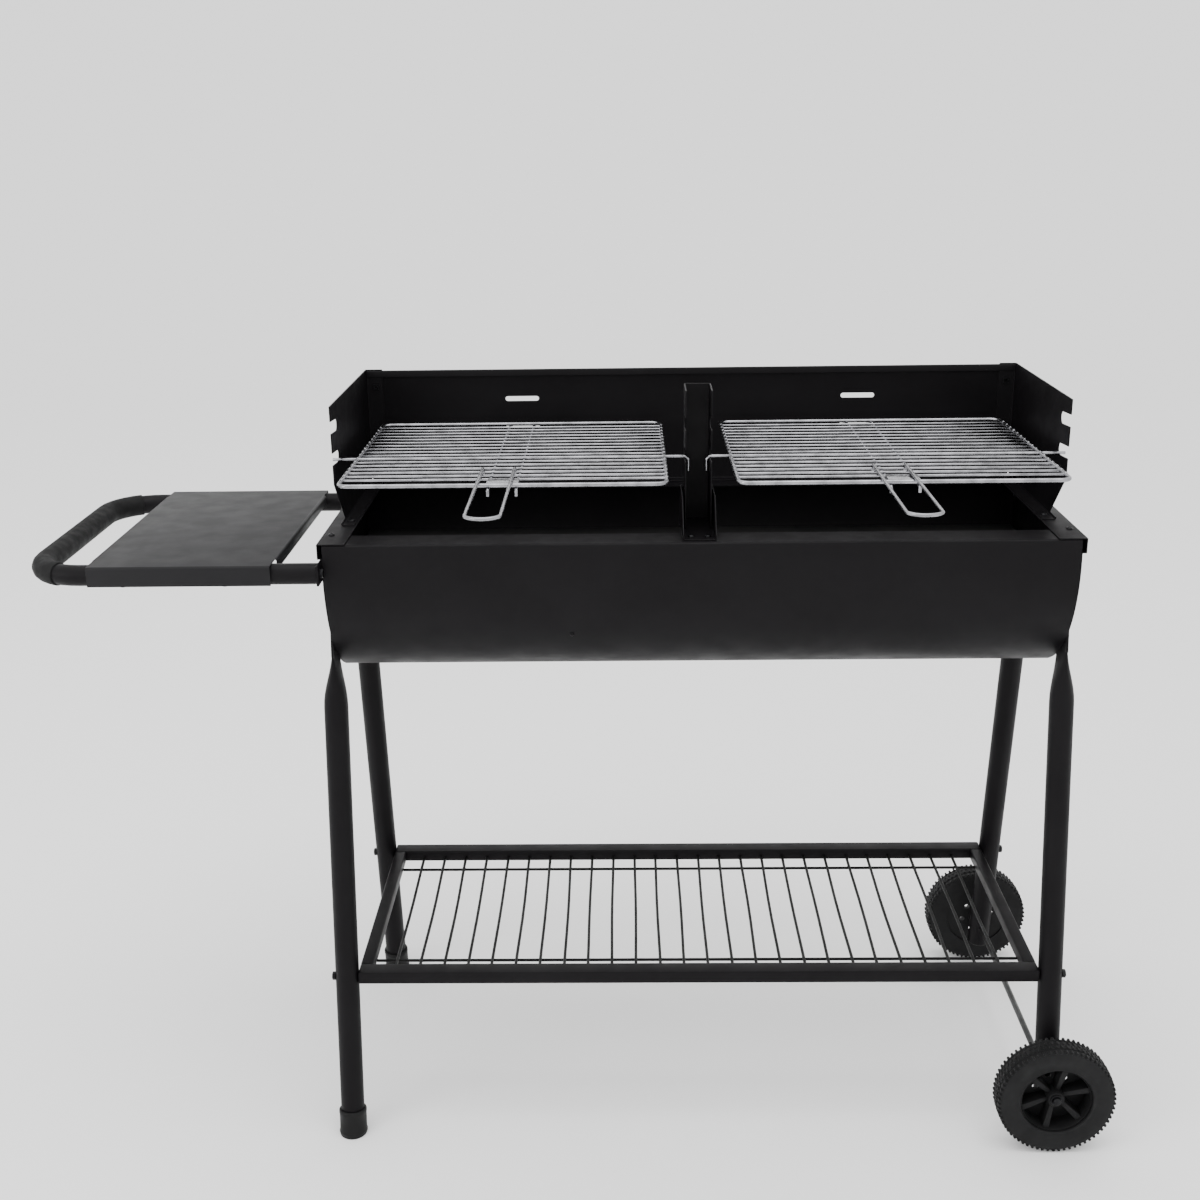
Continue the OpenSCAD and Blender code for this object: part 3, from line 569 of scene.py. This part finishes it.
def windshield():
    """Back plate with its foot, hem and slots, and the two side plates with wings and feet."""
    low, high = span("windshield_back")
    mid = high.y - SHEET / 2
    bend = 2
    back = folded_sheet("back_plate", "X", (low.x, high.x), (low.y, low.z + SHEET / 2), 0,
                        [mid - bend - low.y, (bend, 90), high.z - low.z - SHEET - bend - 1.2, (1.2, 180), 7])
    slots = [slot_cutter((side * GRID_X, high.y, SLOT_Z + level), "X", "Z", 45, 6.5, 30)
             for side in (-1, 1) for level in (0, LEVEL_STEP)]
    cut(back, joined("slot_cutters", slots))
    fit(soften(back, 0.3, 1, 60), BLACK_PAINT, "black_paint", "trolley", "windshield_back")

    low, high = span("windshield_side_right")
    x = high.x - SHEET / 2
    wing_y = high.y - SHEET / 2
    foot = 4
    side = folded_sheet("side_plate_right", "Z", (low.z + foot, high.z), (x, low.y), 90,
                        [wing_y - bend - low.y, (bend, 90), 22 - bend], thickness=0)
    for y0, z0, y1, z1 in ((NOTCH_FRONT, 846, -95.5, 808), (-95.5, 808, -83.5, 787.5)):
        open_edit(side)
        bpy.ops.mesh.bisect(plane_co=spot(x, y0, z0), plane_no=(0, z1 - z0, y0 - y1), clear_outer=True)
        close_edit()
    refine(side, "SOLIDIFY", thickness=SHEET * MM, offset=0)
    cut(side, notch_cutters(x))
    base = folded_sheet("side_foot", "Y", (-80, wing_y - 3), (x - 16, low.z + SHEET / 2), 0,
                        [16 - bend, (bend, 90), foot - bend - SHEET / 2])
    side = joined("side_plate_right", [side, base])
    soften(side, 0.3, 1, 60)
    both_sides(side, "side_plate", BLACK_PAINT, "black_paint", "trolley", "windshield_side")


def centre_post():
    """The notched channel that carries both grids' inner ends, and its foot over the front rim."""
    low, high = span("centre_post")
    front, back = NOTCH_FRONT, high.y - SHEET / 2
    half, bend = 16 - SHEET / 2, 2
    channel = folded_sheet("post_channel", "Z", (low.z + SHEET, high.z), (-half, front), 90,
                           [back - bend - front, (bend, -90), 2 * (half - bend), (bend, -90),
                            back - bend - front])
    cut(channel, notch_cutters(0))
    half, cheek = 20 - SHEET / 2, 44
    rise = cheek - SHEET / 2 - bend
    foot = folded_sheet("post_foot", "Y", (low.y, high.y), (-half, low.z + cheek), -90,
                        [rise, (bend, 90), 2 * (half - bend), (bend, 90), rise])
    bisect(foot, spot(0, -116, low.z + cheek), (0, -33, 38))
    post = joined("grid_post", [channel, foot])
    fit(soften(post, 0.3, 1, 60), BLACK_PAINT, "black_paint", "trolley", "centre_post")


# ---------------------------------------------------------------- charcoal grates

def charcoal_grates():
    low, high = span("charcoal_grate_right")
    bend = 2
    drop = high.z - low.z - SHEET / 2 - bend
    edge = high.y - SHEET / 2
    sheet = folded_sheet("charcoal_grate_right", "X", (low.x, high.x), (-edge, low.z), 90,
                         [drop, (bend, -90), 2 * (edge - bend), (bend, -90), drop])
    middle = (low.x + high.x) / 2
    slots = [slot_cutter((middle + side * 103, (row - 3.5) * 30, high.z), "X", "Y", 192, 8, 12)
             for side in (-1, 1) for row in range(8)]
    cut(sheet, joined("grate_slots", slots))
    soften(sheet, 0.3, 1, 60)
    both_sides(sheet, "coal_grate", GRATE_PAINT, "grate_steel", "charcoal_grate", "charcoal_grate", True)


# ---------------------------------------------------------------- cooking grids

SPINE_X = 16
BAR_Z = 869.7
BAR_FIRST = -185
BAR_STEP = 18.3125
BARS = 17
REST_BAR = 6


def grid_wires():
    """Frame, bars, small front plate and the weld at each crossing."""
    low, high = span("grid_right")
    x0, x1, y0, y1 = low.x + 2.5, high.x - 2.5, low.y + 2.5, high.y - 2.5
    z = BAR_Z - 0.7
    ring = [spot(x0, y0, z), spot(x1, y0, z), spot(x1, y1, z), spot(x0, y1, z)]
    parts = [bent_wire("grid_frame", ring, 5, 12, 14, closed=True)]
    bar = run_wire("grid_bar", spot(x0 - 0.4, 0, BAR_Z), AXES["X"], [x1 - x0 + 0.8], 3)
    soften(bar, 0.4, 2, 60)
    places = [BAR_FIRST + i * BAR_STEP for i in range(BARS)]
    parts += [bar_of(bar, (0, y, 0)) for i, y in enumerate(places) if i != REST_BAR]
    bpy.data.objects.remove(bar)
    parts.append(run_wire("rest_bar", spot(x0 - 2.5, places[REST_BAR], BAR_Z), AXES["X"], [x1 - x0 + 5], 4))
    parts.append(block("front_plate", (GRID_X - 18, y0 + 0.5, z + 0.8), (GRID_X + 18, BAR_FIRST, z + 2), 0.3))
    welds = [spot(x, y, z + 1.6) for x in (x0, x1) for y in places]
    parts.append(dots("grid_welds", welds, 2.3, 0.8))
    grid = joined("cooking_grid_right", parts)
    both_sides(grid, "cooking_grid", CHROME, "chrome_wire", "grid", "grid", True)


def grid_spines():
    """The two wires below the bars: they dip under the frame and end as tongues in the slots."""
    low, high = span("grid_spines_right")
    y0, y1 = -211, 135
    top, under = BAR_Z - 4.1, BAR_Z - 5.3
    parts = []
    for side in (-1, 1):
        x = GRID_X + side * SPINE_X
        route = [spot(x, y, z) for y, z in (
            (y0 - 5, under - 7), (y0 - 4, under), (y0 + 6, under), (y0 + 18, top), (y1 - 20, top),
            (y1 - 7, under), (y1 + 5, under), (149, SLOT_Z), (high.y, SLOT_Z))]
        wire = bent_wire("grid_spine", route, 4, 2.2)
        parts.append(soften(wire, 0.5, 2, 60))
    places = [spot(GRID_X + side * SPINE_X, BAR_FIRST + i * BAR_STEP, BAR_Z - 1.9)
              for side in (-1, 1) for i in range(BARS)]
    parts.append(dots("spine_welds", places, 1.9, 0.7))
    wires = joined("grid_spines", parts)
    both_sides(wires, "spine_wires", CHROME, "chrome_wire", "grid", "grid_spines", True)


def grid_arms():
    """The support wire's two ends: straight into the side plate, hooked into the post."""
    low, high = span("grid_arms_right")
    y = BAR_FIRST + REST_BAR * BAR_STEP
    x_in, x_out = span("grid_right")[0].x, span("grid_right")[1].x
    outer = soften(run_wire("arm_outer", spot(x_out, y, BAR_Z), AXES["X"], [high.x - x_out], 4), 0.6, 2, 60)
    hook = run_wire("arm_hook", spot(x_in, y, BAR_Z), -AXES["X"],
                    [x_in - 17, (6, 90, -AXES["Y"]), 12], 4)
    arms = joined("grid_arms", [outer, soften(hook, 0.6, 2, 60)])
    both_sides(arms, "support_arms", CHROME, "chrome_wire", "grid", "grid_arms", True)


def grid_handles():
    """Folding wire handles: a hook over the third bar, a long leg, a cornered end and back."""
    y = BAR_FIRST + 2 * BAR_STEP
    for side in ("left", "right"):
        low, high = span("grid_handle_" + side)
        middle = (low.x + high.x) / 2
        half, rise = 18.5, 4.1
        start_angle = math.radians(-120)
        start = spot(middle - half, y + rise * math.cos(start_angle), BAR_Z + rise * math.sin(start_angle))
        heading = Vector((0, -math.sin(start_angle), math.cos(start_angle)))
        corner, end_arc = 9, 21
        turn = math.degrees(math.acos((half - corner) / (end_arc - corner)))
        tip = corner * math.sin(math.radians(turn)) + end_arc * (1 - math.sin(math.radians(turn)))
        leg = y - (low.y + 2) - tip
        x_axis, z_axis = AXES["X"], AXES["Z"]
        wire = run_wire("fold_handle_" + side, start, heading,
                        [(rise, 210, x_axis), leg, (corner, turn, z_axis), (end_arc, 180 - 2 * turn, z_axis),
                         (corner, turn, z_axis), leg, (rise, 210, -x_axis)], 4, 16)
        soften(wire, 0.5, 2, 60)
        fit(wire, CHROME, "chrome_wire", "grid_handle_" + side, "grid_handle_" + side)


# ---------------------------------------------------------------- legs

LEG_X = span("axle")[0].x + 4
FOOT_Y = 200.6
LEG_R = 15
TILT = 8.3
LEG_BOLTS = (676, 700)


def leg_spot(side, height, x=LEG_X):
    """A place at a height along the leg's own centre line."""
    tilt = math.radians(TILT) * side
    return spot(x, side * FOOT_Y - math.sin(tilt) * height, math.cos(tilt) * height)


def leg_tube(name, side, start):
    """A round tube from start up, pressed to a flat tab at its top, tilted with its foot at FOOT_Y."""
    flat_x = BOWL_HALF + 1.5 - LEG_X
    round_top, flat_from, flat_top = 572, 652, 714
    bpy.ops.mesh.primitive_circle_add(vertices=40, radius=LEG_R * MM, fill_type="NGON",
                                      location=spot(LEG_X, 0, start))
    tube = started(name)
    open_edit(tube)
    push(0, 0, (round_top - start) * MM)
    steps = 9
    squash_now, spread_now, shift_now = 1.0, 1.0, 0.0
    for step in range(1, steps + 1):
        ease = step / steps
        ease = ease * ease * (3 - 2 * ease)
        squash_next = 1 - 0.86 * ease
        spread_next = 1 + (21.6 / LEG_R - 1) * ease
        shift_next = flat_x * ease
        push((shift_next - shift_now) * MM, 0, (flat_from - round_top) / steps * MM)
        height = round_top + (flat_from - round_top) * step / steps
        bpy.ops.transform.resize(value=(squash_next / squash_now, spread_next / spread_now, 1),
                                 center_override=spot(LEG_X + shift_next, 0, height))
        squash_now, spread_now, shift_now = squash_next, spread_next, shift_next
    close_edit()
    tab_x, tab_half, tab_t = LEG_X + flat_x, 22, 1.5
    tab = block("leg_tab", (tab_x - tab_t, -tab_half, flat_from - 14), (tab_x + tab_t, tab_half, flat_top), 0)
    open_edit(tab)
    pick(tab, lambda edge: all(v.co.z > (flat_top - 1) * MM for v in edge.verts)
         and abs(edge.verts[0].co.y - edge.verts[1].co.y) < TINY, "EDGE")
    bpy.ops.mesh.bevel(offset=12 * MM, segments=8)
    close_edit()
    soften(tab, 0.7, 3, 60)
    leg = joined(name, [tube, tab])
    leg.location = spot(0, side * FOOT_Y, 0) - spot(0, 0, 0)
    settle(leg)
    open_edit(leg)
    turn = -math.radians(TILT) * side
    bpy.ops.transform.rotate(value=turn, orient_axis="X", center_override=spot(LEG_X, side * FOOT_Y, 0))
    bpy.ops.object.mode_set(mode="OBJECT")
    return leg


def legs():
    for side, end in ((-1, "front"), (1, "back")):
        right = leg_tube(f"leg_tube_{end}_right", side, 48)
        fit(right, BLACK_PAINT, "black_paint", "trolley", f"leg_{end}_right")
        left = mirrored(leg_tube("leg_tube_spare", side, 5), f"leg_tube_{end}_left")
        bpy.data.objects.remove(bpy.data.objects["leg_tube_spare"])
        fit(left, BLACK_PAINT, "black_paint", "trolley", f"leg_{end}_left")


def tipped(piece, side, x, height=0.0):
    """Stand a part turned about +Z on a leg's centre line."""
    piece.rotation_euler = (math.radians(TILT) * side, 0, 0)
    piece.location = leg_spot(side, height, x)
    return settle(piece)


def foot_caps():
    """Ribbed plastic cups on the left legs, flat on the ground."""
    rings = [(17.5, -5), (17.5, 1), (18.2, 2.2), (18.2, 4.2), (17.5, 5.4), (17.5, 27), (17.9, 28.5),
             (17.9, 32), (17.2, 33.4), (16.2, 34), (15.3, 33.4)]
    for side, end in ((-1, "front"), (1, "back")):
        cap = turned(f"foot_cap_cup_{end}", rings)
        tipped(cap, side, -LEG_X)
        bisect(cap, Vector((0, 0, 0)), (0, 0, -1))
        soften(cap, 0.5, 2, 50)
        fit(cap, CAP_PLASTIC, "black_plastic", "trolley", f"foot_cap_{end}")


def leg_plugs():
    rings = [(12.6, -3.2), (14.2, -2.6), (14.9, -1.2), (14.9, 0), (13.6, 0.4), (13.6, 11), (12.8, 12)]
    plugs = [tipped(turned("leg_plug", rings, 36), side, LEG_X, 48) for side in (-1, 1)]
    fit(joined("leg_end_plugs", plugs), CAP_PLASTIC, "black_plastic", "trolley", "leg_plugs")


# ---------------------------------------------------------------- shelf

def open_ended(rail, normal_axis, wall=1.2, depth=6):
    """Sink both end faces of a closed bar, as the open ends of a square tube."""
    open_edit(rail)
    index = "XYZ".index(normal_axis)
    places = [vert.co[index] for vert in rail.data.vertices]
    low, high = min(places), max(places)
    for end, sign in ((low, 1), (high, -1)):
        pick(rail, lambda face: all(abs(v.co[index] - end) < TINY for v in face.verts), "FACE")
        bpy.ops.mesh.inset(thickness=wall * MM)
        move = Vector()
        move[index] = sign * depth * MM
        push(*move)
    close_edit()
    return rail


def shelf_rails():
    for end in ("front", "back"):
        low, high = span("shelf_rail_" + end)
        rail = open_ended(block("shelf_tube_" + end, low, high, 2.2, 4), "X")
        fit(rail, BLACK_PAINT, "black_paint", "trolley", "shelf_rail_" + end)
    low, high = span("shelf_rail_right")
    rail = block("shelf_tube_right", low, high, 2.2, 4)
    beads = [block("weld_bead", (low.x + 1, y - 1.2, high.z - 2.4), (high.x - 1, y + 1.2, high.z + 0.3),
                   0.9, 2) for y in (low.y, high.y)]
    both_sides(joined("shelf_tube_right", [rail] + beads), "shelf_tube", BLACK_PAINT, "black_paint",
               "trolley", "shelf_rail")


def shelf_mesh():
    """Painted cross wires, none of them quite straight, over two long wires."""
    low, high = span("shelf_mesh")
    wire = 4
    z = high.z - wire / 2
    wires = 26
    first = 391
    long_y = 124
    half = high.y
    places = [-first + i * 2 * first / (wires - 1) for i in range(wires)]
    parts = []
    for x in places:
        radius = CHANCE.uniform(4000, 9000)
        side = CHANCE.choice((-1, 1))
        skew = CHANCE.uniform(-0.25, 0.25)
        quarter = math.degrees(half / 2 / radius)
        axis = AXES["Z"] * side
        heading = Vector((math.sin(math.radians(skew)), math.cos(math.radians(skew)), 0))
        start = spot(x - half * math.sin(math.radians(skew)), -half, z)
        parts.append(run_wire("cross_wire", start, heading,
                              [(radius, quarter, axis), (radius, 2 * quarter, -axis),
                               (radius, quarter, axis)], wire, 10))
    for side in (-1, 1):
        parts.append(run_wire("long_wire", spot(low.x, side * long_y, z - wire + 0.2), AXES["X"],
                              [high.x - low.x], wire, 10))
    crossings = [spot(x, side * long_y, z - wire / 2) for x in places for side in (-1, 1)]
    parts.append(dots("mesh_welds", crossings, 2.1, 0.8))
    feet = [spot(x, side * (half - 0.2), z) for x in places for side in (-1, 1)]
    parts.append(dots("mesh_feet", feet, 2.2, 1))
    fit(joined("shelf_wires", parts), WIRE_PAINT, "shelf_wire_paint", "trolley", "shelf_mesh")


# ---------------------------------------------------------------- wheels and axle

WHEEL_R = 75
SPOKES = 6


def wheel_disc():
    """A moulded wheel about +Z with its inner side at zero and its outer side at 34."""
    tyre = turned("wheel_tyre", [
        (45, 1), (60, 0.4), (66, 0), (70.5, 1.2), (72.4, 4), (72.9, 7.4), (71.9, 8.2), (71.9, 9.4),
        (73.2, 10.2), (73.6, 17), (73.2, 23.8), (71.9, 24.6), (71.9, 25.8), (72.9, 26.6), (72.4, 30),
        (70.5, 32.8), (66, 34), (61, 33.8), (56.5, 32.6), (52, 31.6), (48.5, 31.8), (46.6, 32.6),
        (45.4, 31.8), (45, 30), (44.6, 12), (44.2, 5)], 96, closed=True)
    lug_long = 6.4
    lug = block("tyre_lug", (0, 0, 0), (3.3, 2.4, lug_long), 0.6, 1)
    lug.location = -spot(1.65, 1.2, 3.2)
    settle(lug)
    lugs = []
    count = 66
    for height, long, turn in ((3.9, 6.2, 0), (13.4, 6.4, 0.5), (20.6, 6.4, 0), (30.1, 6.2, 0.5)):
        for i in range(count):
            angle = (i + turn) * 2 * math.pi / count
            radius = 72.9 if 10 < height < 24 else 72.2
            twin = copy_of(lug)
            twin.rotation_euler = (0, 0, angle)
            twin.scale = (1, 1.35, long / lug_long)
            twin.location = (radius * math.cos(angle) * MM, radius * math.sin(angle) * MM, height * MM)
            lugs.append(twin)
    bpy.data.objects.remove(lug)
    tread = settle(joined("tread", lugs))

    floor = turned("hub_floor", [(10, 3), (45, 3), (45, 6), (40, 6), (38.5, 6.6), (14, 6.6), (10, 7)], 72,
                   closed=True)
    holes = []
    hole_at, between = 22, 360 / SPOKES
    for i in range(SPOKES):
        angle = math.radians(between * (i + 0.5))
        place = (hole_at * math.cos(angle) * MM, hole_at * math.sin(angle) * MM, 5 * MM)
        bpy.ops.mesh.primitive_cylinder_add(vertices=24, radius=4 * MM, depth=20 * MM, location=place)
        holes.append(started("floor_hole"))
    cut(floor, joined("floor_holes", holes))
    spokes = []
    for i in range(SPOKES):
        bpy.ops.mesh.primitive_cube_add(size=1, location=(27.5 * MM, 0, 13 * MM))
        bpy.context.object.scale = (36 * MM, 9 * MM, 16 * MM)
        spoke = started("spoke")
        open_edit(spoke)
        pick(spoke, lambda vert: vert.co.x < 15 * MM)
        bpy.ops.transform.resize(value=(1, 0.62, 1), center_override=(10 * MM, 0, 13 * MM))
        pick(spoke, lambda vert: vert.co.x > 30 * MM and vert.co.z > 15 * MM)
        bpy.ops.transform.translate(value=(0, 0, 5.5 * MM))
        close_edit()
        soften(spoke, 1.1, 2)
        spoke.rotation_euler = (0, 0, math.radians(between * i))
        spokes.append(settle(spoke))
    rib = turned("pocket_ring", [(42.6, 5), (45, 5), (45, 29), (43.6, 29.6), (42.8, 28)], 72, closed=True)
    boss = turned("hub_boss", [(11.5, -1), (12, 3), (12, 7), (11, 8.5), (10.6, 26.6), (9.8, 28), (4.3, 28),
                               (4.1, 27.4), (4.1, -0.6), (4.5, -1)], 48, closed=True)
    return joined("road_wheel", [tyre, tread, floor, rib, boss] + spokes)


def wheels():
    inner = span("wheel_back")[0].y + 1
    rim = wheel_disc()
    for side, end in ((-1, "front"), (1, "back")):
        wheel = copy_of(rim, "road_wheel_" + end)
        spin = Matrix.Rotation(math.radians(-90 * side), 4, "X") @ Matrix.Rotation(math.radians(17), 4, "Z")
        spin.translation = spot(LEG_X, side * inner, WHEEL_R)
        wheel.matrix_world = spin
        settle(wheel)
        fit(wheel, WHEEL_PLASTIC, "wheel_plastic", "wheel_" + end, "wheel_" + end, smooth=32)
    bpy.data.objects.remove(rim)


def axle():
    low, high = span("axle")
    length = high.y - low.y
    rod = turned("axle_rod", [(2.6, -length / 2), (3.9, -length / 2 + 1.2), (4, -length / 2 + 1.4),
                              (4, length / 2 - 1.4), (3.9, length / 2 - 1.2), (2.6, length / 2)], 32)
    rod.rotation_euler = (math.pi / 2, 0, 0)
    rod.location = spot(LEG_X, 0, WHEEL_R)
    fit(settle(rod), AXLE_STEEL, "axle_steel", "trolley", "axle")

    washer = turned("axle_washer_rings", [(4.1, 0), (8.8, 0), (9, 0.3), (9, 1.4), (8.8, 1.7), (4.1, 1.7)], 40,
                    closed=True)
    low, high = span("axle_washers")
    places = [(spot(LEG_X, side * high.y, WHEEL_R), -AXES["Y"] * side) for side in (-1, 1)]
    fit(at_places(washer, places), ZINC, "zinc_steel", "trolley", "axle_washers")

    cap = turned("axle_push_caps", [(4.1, 0), (7.3, 0), (7.5, 0.3), (7.3, 1), (5.9, 1.3), (5.6, 1.9),
                                    (5.2, 4.3), (4.2, 5.3), (2.4, 5.8), (0.6, 5.9)], 40)
    low, high = span("axle_nuts")
    places = [(spot(LEG_X, side * (high.y - 4.5), WHEEL_R), AXES["Y"] * side) for side in (-1, 1)]
    fit(at_places(cap, places), BLACK_ZINC, "zinc_steel", "trolley", "axle_nuts")


# ---------------------------------------------------------------- side table

ARM_Y = 170
TABLE_BEND = 60


def side_table():
    low, high = span("table_tray")
    t, bend, lip = 1.2, 2.5, 13
    edge = high.y - t / 2
    drop = high.z - low.z - t / 2 - bend
    top = folded_sheet("tray_top", "X", (low.x + bend, high.x - bend), (-edge, low.z), 90,
                       [drop, (bend, -90), 2 * (edge - bend), (bend, -90), drop], t)
    lips = []
    for x, heading, fold in ((low.x + t / 2, 90, -90), (high.x - t / 2, 90, 90)):
        lips.append(folded_sheet("tray_lip", "Y", (-154, 154), (x, high.z - lip), heading,
                                 [lip - t / 2 - bend, (bend, fold), 1], t))
    tray = joined("tray_sheet", [top] + lips)
    soften(tray, 0.35, 2, 60)
    fit(tray, TRAY_PAINT, "tray_paint", "trolley", "table_tray")

    low, high = span("table_tube")
    d = high.z - low.z
    z = (low.z + high.z) / 2
    far = low.x + d / 2
    corners = [spot(x, y, z) for x, y in ((high.x, ARM_Y), (far, ARM_Y), (far, -ARM_Y), (high.x, -ARM_Y))]
    tube = bent_wire("push_handle_tube", corners, d, TABLE_BEND, 40)
    fit(tube, BLACK_PAINT, "black_paint", "trolley", "table_tube")

    skip = 26
    turn = math.radians(90 + skip)
    start = spot(far + TABLE_BEND + TABLE_BEND * math.cos(turn),
                 ARM_Y - TABLE_BEND + TABLE_BEND * math.sin(turn), z)
    heading = Vector((-math.sin(turn), math.cos(turn), 0))
    sleeve = run_wire("grip_sleeve", start, heading, [(TABLE_BEND, 90 - skip, AXES["Z"]),
                      2 * (ARM_Y - TABLE_BEND), (TABLE_BEND, 90 - skip, AXES["Z"])], d + 3, 40)
    soften(sleeve, 1.1, 3, 60)
    fit(sleeve, GRIP_FOAM, "grip_foam", "trolley", "handle_grip")

    low, high = span("table_bracket")
    fit(block("arm_bracket", low, high, 1.2, 3), BLACK_PAINT, "black_paint", "trolley", "table_bracket")


# ---------------------------------------------------------------- fasteners

def hex_head(name, radius=5.5, height=3.5):
    """A hexagon head about +Z, its top edge chamfered, on a thin washer face."""
    bpy.ops.mesh.primitive_cylinder_add(vertices=6, radius=radius * MM, depth=height * MM,
                                        location=(0, 0, (height / 2 + 0.2) * MM))
    head = started(name)
    open_edit(head)
    pick(head, lambda face: face.normal.z > 0.9, "FACE")
    bpy.ops.mesh.inset(thickness=0.7 * MM)
    bpy.ops.transform.translate(value=(0, 0, 0.45 * MM))
    close_edit()
    soften(head, 0.25, 2, 25)
    collar = turned(name + "_collar", [(radius * 0.96, -0.2), (radius * 0.96, 0.3), (radius * 0.8, 0.5)], 24)
    return joined(name, [head, collar])


def pan_head(name, radius=4.0, height=2.4):
    """A domed screw head about +Z with a cross recess."""
    head = turned(name, [(radius * 0.98, -0.1), (radius, 0.3), (radius * 0.94, 0.45 * height),
                         (radius * 0.78, 0.78 * height), (radius * 0.5, 0.96 * height),
                         (radius * 0.2, height)], 28)
    bars = []
    for long_x, long_y in ((2.6, 0.8), (0.8, 2.6)):
        bpy.ops.mesh.primitive_cube_add(size=1, location=(0, 0, height * MM))
        bpy.context.object.scale = (long_x * 1.6 * MM, long_y * 1.6 * MM, 1.8 * MM)
        bars.append(started("recess_bar"))
    for bar in bars:
        cut(head, bar)
    return head


def fasteners():
    x_face = BOWL_HALF + 3
    bolts = [(leg_spot(side, at, x_side * x_face), AXES["X"] * x_side)
             for x_side in (-1, 1) for side in (-1, 1) for at in LEG_BOLTS]
    fit(at_places(hex_head("leg_bolt_heads"), bolts), BLACK_ZINC, "black_fasteners", "trolley", "leg_bolts")

    low, high = span("shelf_bolts")
    bolt_y, bolt_z = 170, 214
    bolts = [(spot(x_side * (high.x - 3.5), side * bolt_y, bolt_z), AXES["X"] * x_side)
             for x_side in (-1, 1) for side in (-1, 1)]
    fit(at_places(hex_head("shelf_bolt_heads"), bolts), BLACK_ZINC, "black_fasteners", "trolley",
        "shelf_bolts")

    side_x, corner_x, rim_x = 426, 422, 440
    screws = [(spot(x_side * side_x, y, RIM_Z + 3), AXES["Z"]) for x_side in (-1, 1) for y in (-60, 110)]
    screws += [(spot(x, 148.5, RIM_Z + 1.5), AXES["Z"]) for x in (-300, 0, 300)]
    screws += [(spot(x, -140, RIM_Z + 1.5), AXES["Z"]) for x in (-10, 10)]
    screws += [(spot(x_side * corner_x, 160, z), AXES["Y"]) for x_side in (-1, 1) for z in (831, 917)]
    fit(at_places(pan_head("windshield_screw_heads"), screws), BLACK_ZINC, "black_fasteners", "trolley",
        "windshield_screws")

    screws = [(spot(x, y, RIM_Z + 1.5), AXES["Z"]) for x in (-rim_x, rim_x) for y in (-121, 121)]
    fit(at_places(pan_head("rim_screw_heads"), screws), BLACK_ZINC, "black_fasteners", "trolley",
        "rim_screws")

    z = span("table_tube")[0].z
    screws = [(spot(x, side * ARM_Y, z), -AXES["Z"]) for x in (-559.5, -680.5) for side in (-1, 1)]
    fit(at_places(pan_head("tray_screw_heads"), screws), BLACK_ZINC, "black_fasteners", "trolley",
        "tray_screws")


def plain_nodes():
    """Finishes for the CAD nodes that stay as they are."""
    keep = {"grate_ledge_left": GRATE_PAINT, "grate_ledge_right": GRATE_PAINT, "grate_crossbar": GRATE_PAINT,
            "table_plugs": CAP_PLASTIC, "leg_nuts": ZINC, "shelf_nuts": ZINC, "windshield_nuts": BLACK_ZINC,
            "table_bolts": BLACK_ZINC, "table_nuts": ZINC}
    for node, material in keep.items():
        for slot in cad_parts[node].material_slots:
            slot.material = material


# ---------------------------------------------------------------- camera, light and floor

def camera():
    yaw, pitch, roll = math.radians(-1.10), math.radians(-18.07), math.radians(-0.79)
    ahead = Vector((math.sin(yaw) * math.cos(pitch), math.cos(yaw) * math.cos(pitch), math.sin(pitch)))
    level = Vector((math.cos(yaw), -math.sin(yaw), 0))
    right = Quaternion(ahead, -roll) @ level
    up = right.cross(ahead)
    lens = bpy.data.cameras.new("studio_camera")
    lens.lens = 45.13
    lens.sensor_width = 36
    lens.clip_start = 0.05
    lens.clip_end = 100
    stand = bpy.data.objects.new("studio_camera", lens)
    bpy.context.scene.collection.objects.link(stand)
    turn = Matrix((right, up, -ahead)).transposed().to_4x4()
    turn.translation = spot(-85.66, -1854.03, 1268.92)
    stand.matrix_world = turn
    bpy.context.scene.camera = stand


def soft_light(name, place, target, size, power):
    lamp = bpy.data.lights.new(name, "AREA")
    lamp.shape = "RECTANGLE"
    lamp.size, lamp.size_y = size
    lamp.energy = power
    stand = bpy.data.objects.new(name, lamp)
    bpy.context.scene.collection.objects.link(stand)
    stand.location = place
    stand.rotation_euler = (Vector(target) - Vector(place)).to_track_quat("-Z", "Y").to_euler()


def studio():
    world = bpy.data.worlds.new("studio_white")
    bpy.context.scene.world = world
    world.use_nodes = True
    world.node_tree.nodes["Background"].inputs["Color"].default_value = (1, 1, 1, 1)
    world.node_tree.nodes["Background"].inputs["Strength"].default_value = 1.7
    sweep = folded_sheet("studio_sweep", "X", (-20000, 20000), (-20000, -0.5), 0, [25000, (4000, 90), 9000],
                         thickness=0)
    material, tree, shader = shader_of("pale_paper", (0.93, 0.93, 0.93), 0.9, specular=0.0)
    sweep.data.materials.append(material)
    only(sweep)
    bpy.ops.object.shade_smooth()
    soft_light("overhead_softbox", (0, -0.4, 3.4), (0, 0, 0.7), (3.0, 2.0), 60)
    soft_light("left_softbox", (-2.8, -2.2, 1.9), (0, 0, 0.7), (1.6, 1.6), 30)


# ---------------------------------------------------------------- make it all

camera()
trough()
end_plate()
windshield()
centre_post()
charcoal_grates()
grid_wires()
grid_spines()
grid_arms()
grid_handles()
legs()
foot_caps()
leg_plugs()
shelf_rails()
shelf_mesh()
wheels()
axle()
side_table()
fasteners()
plain_nodes()
studio()
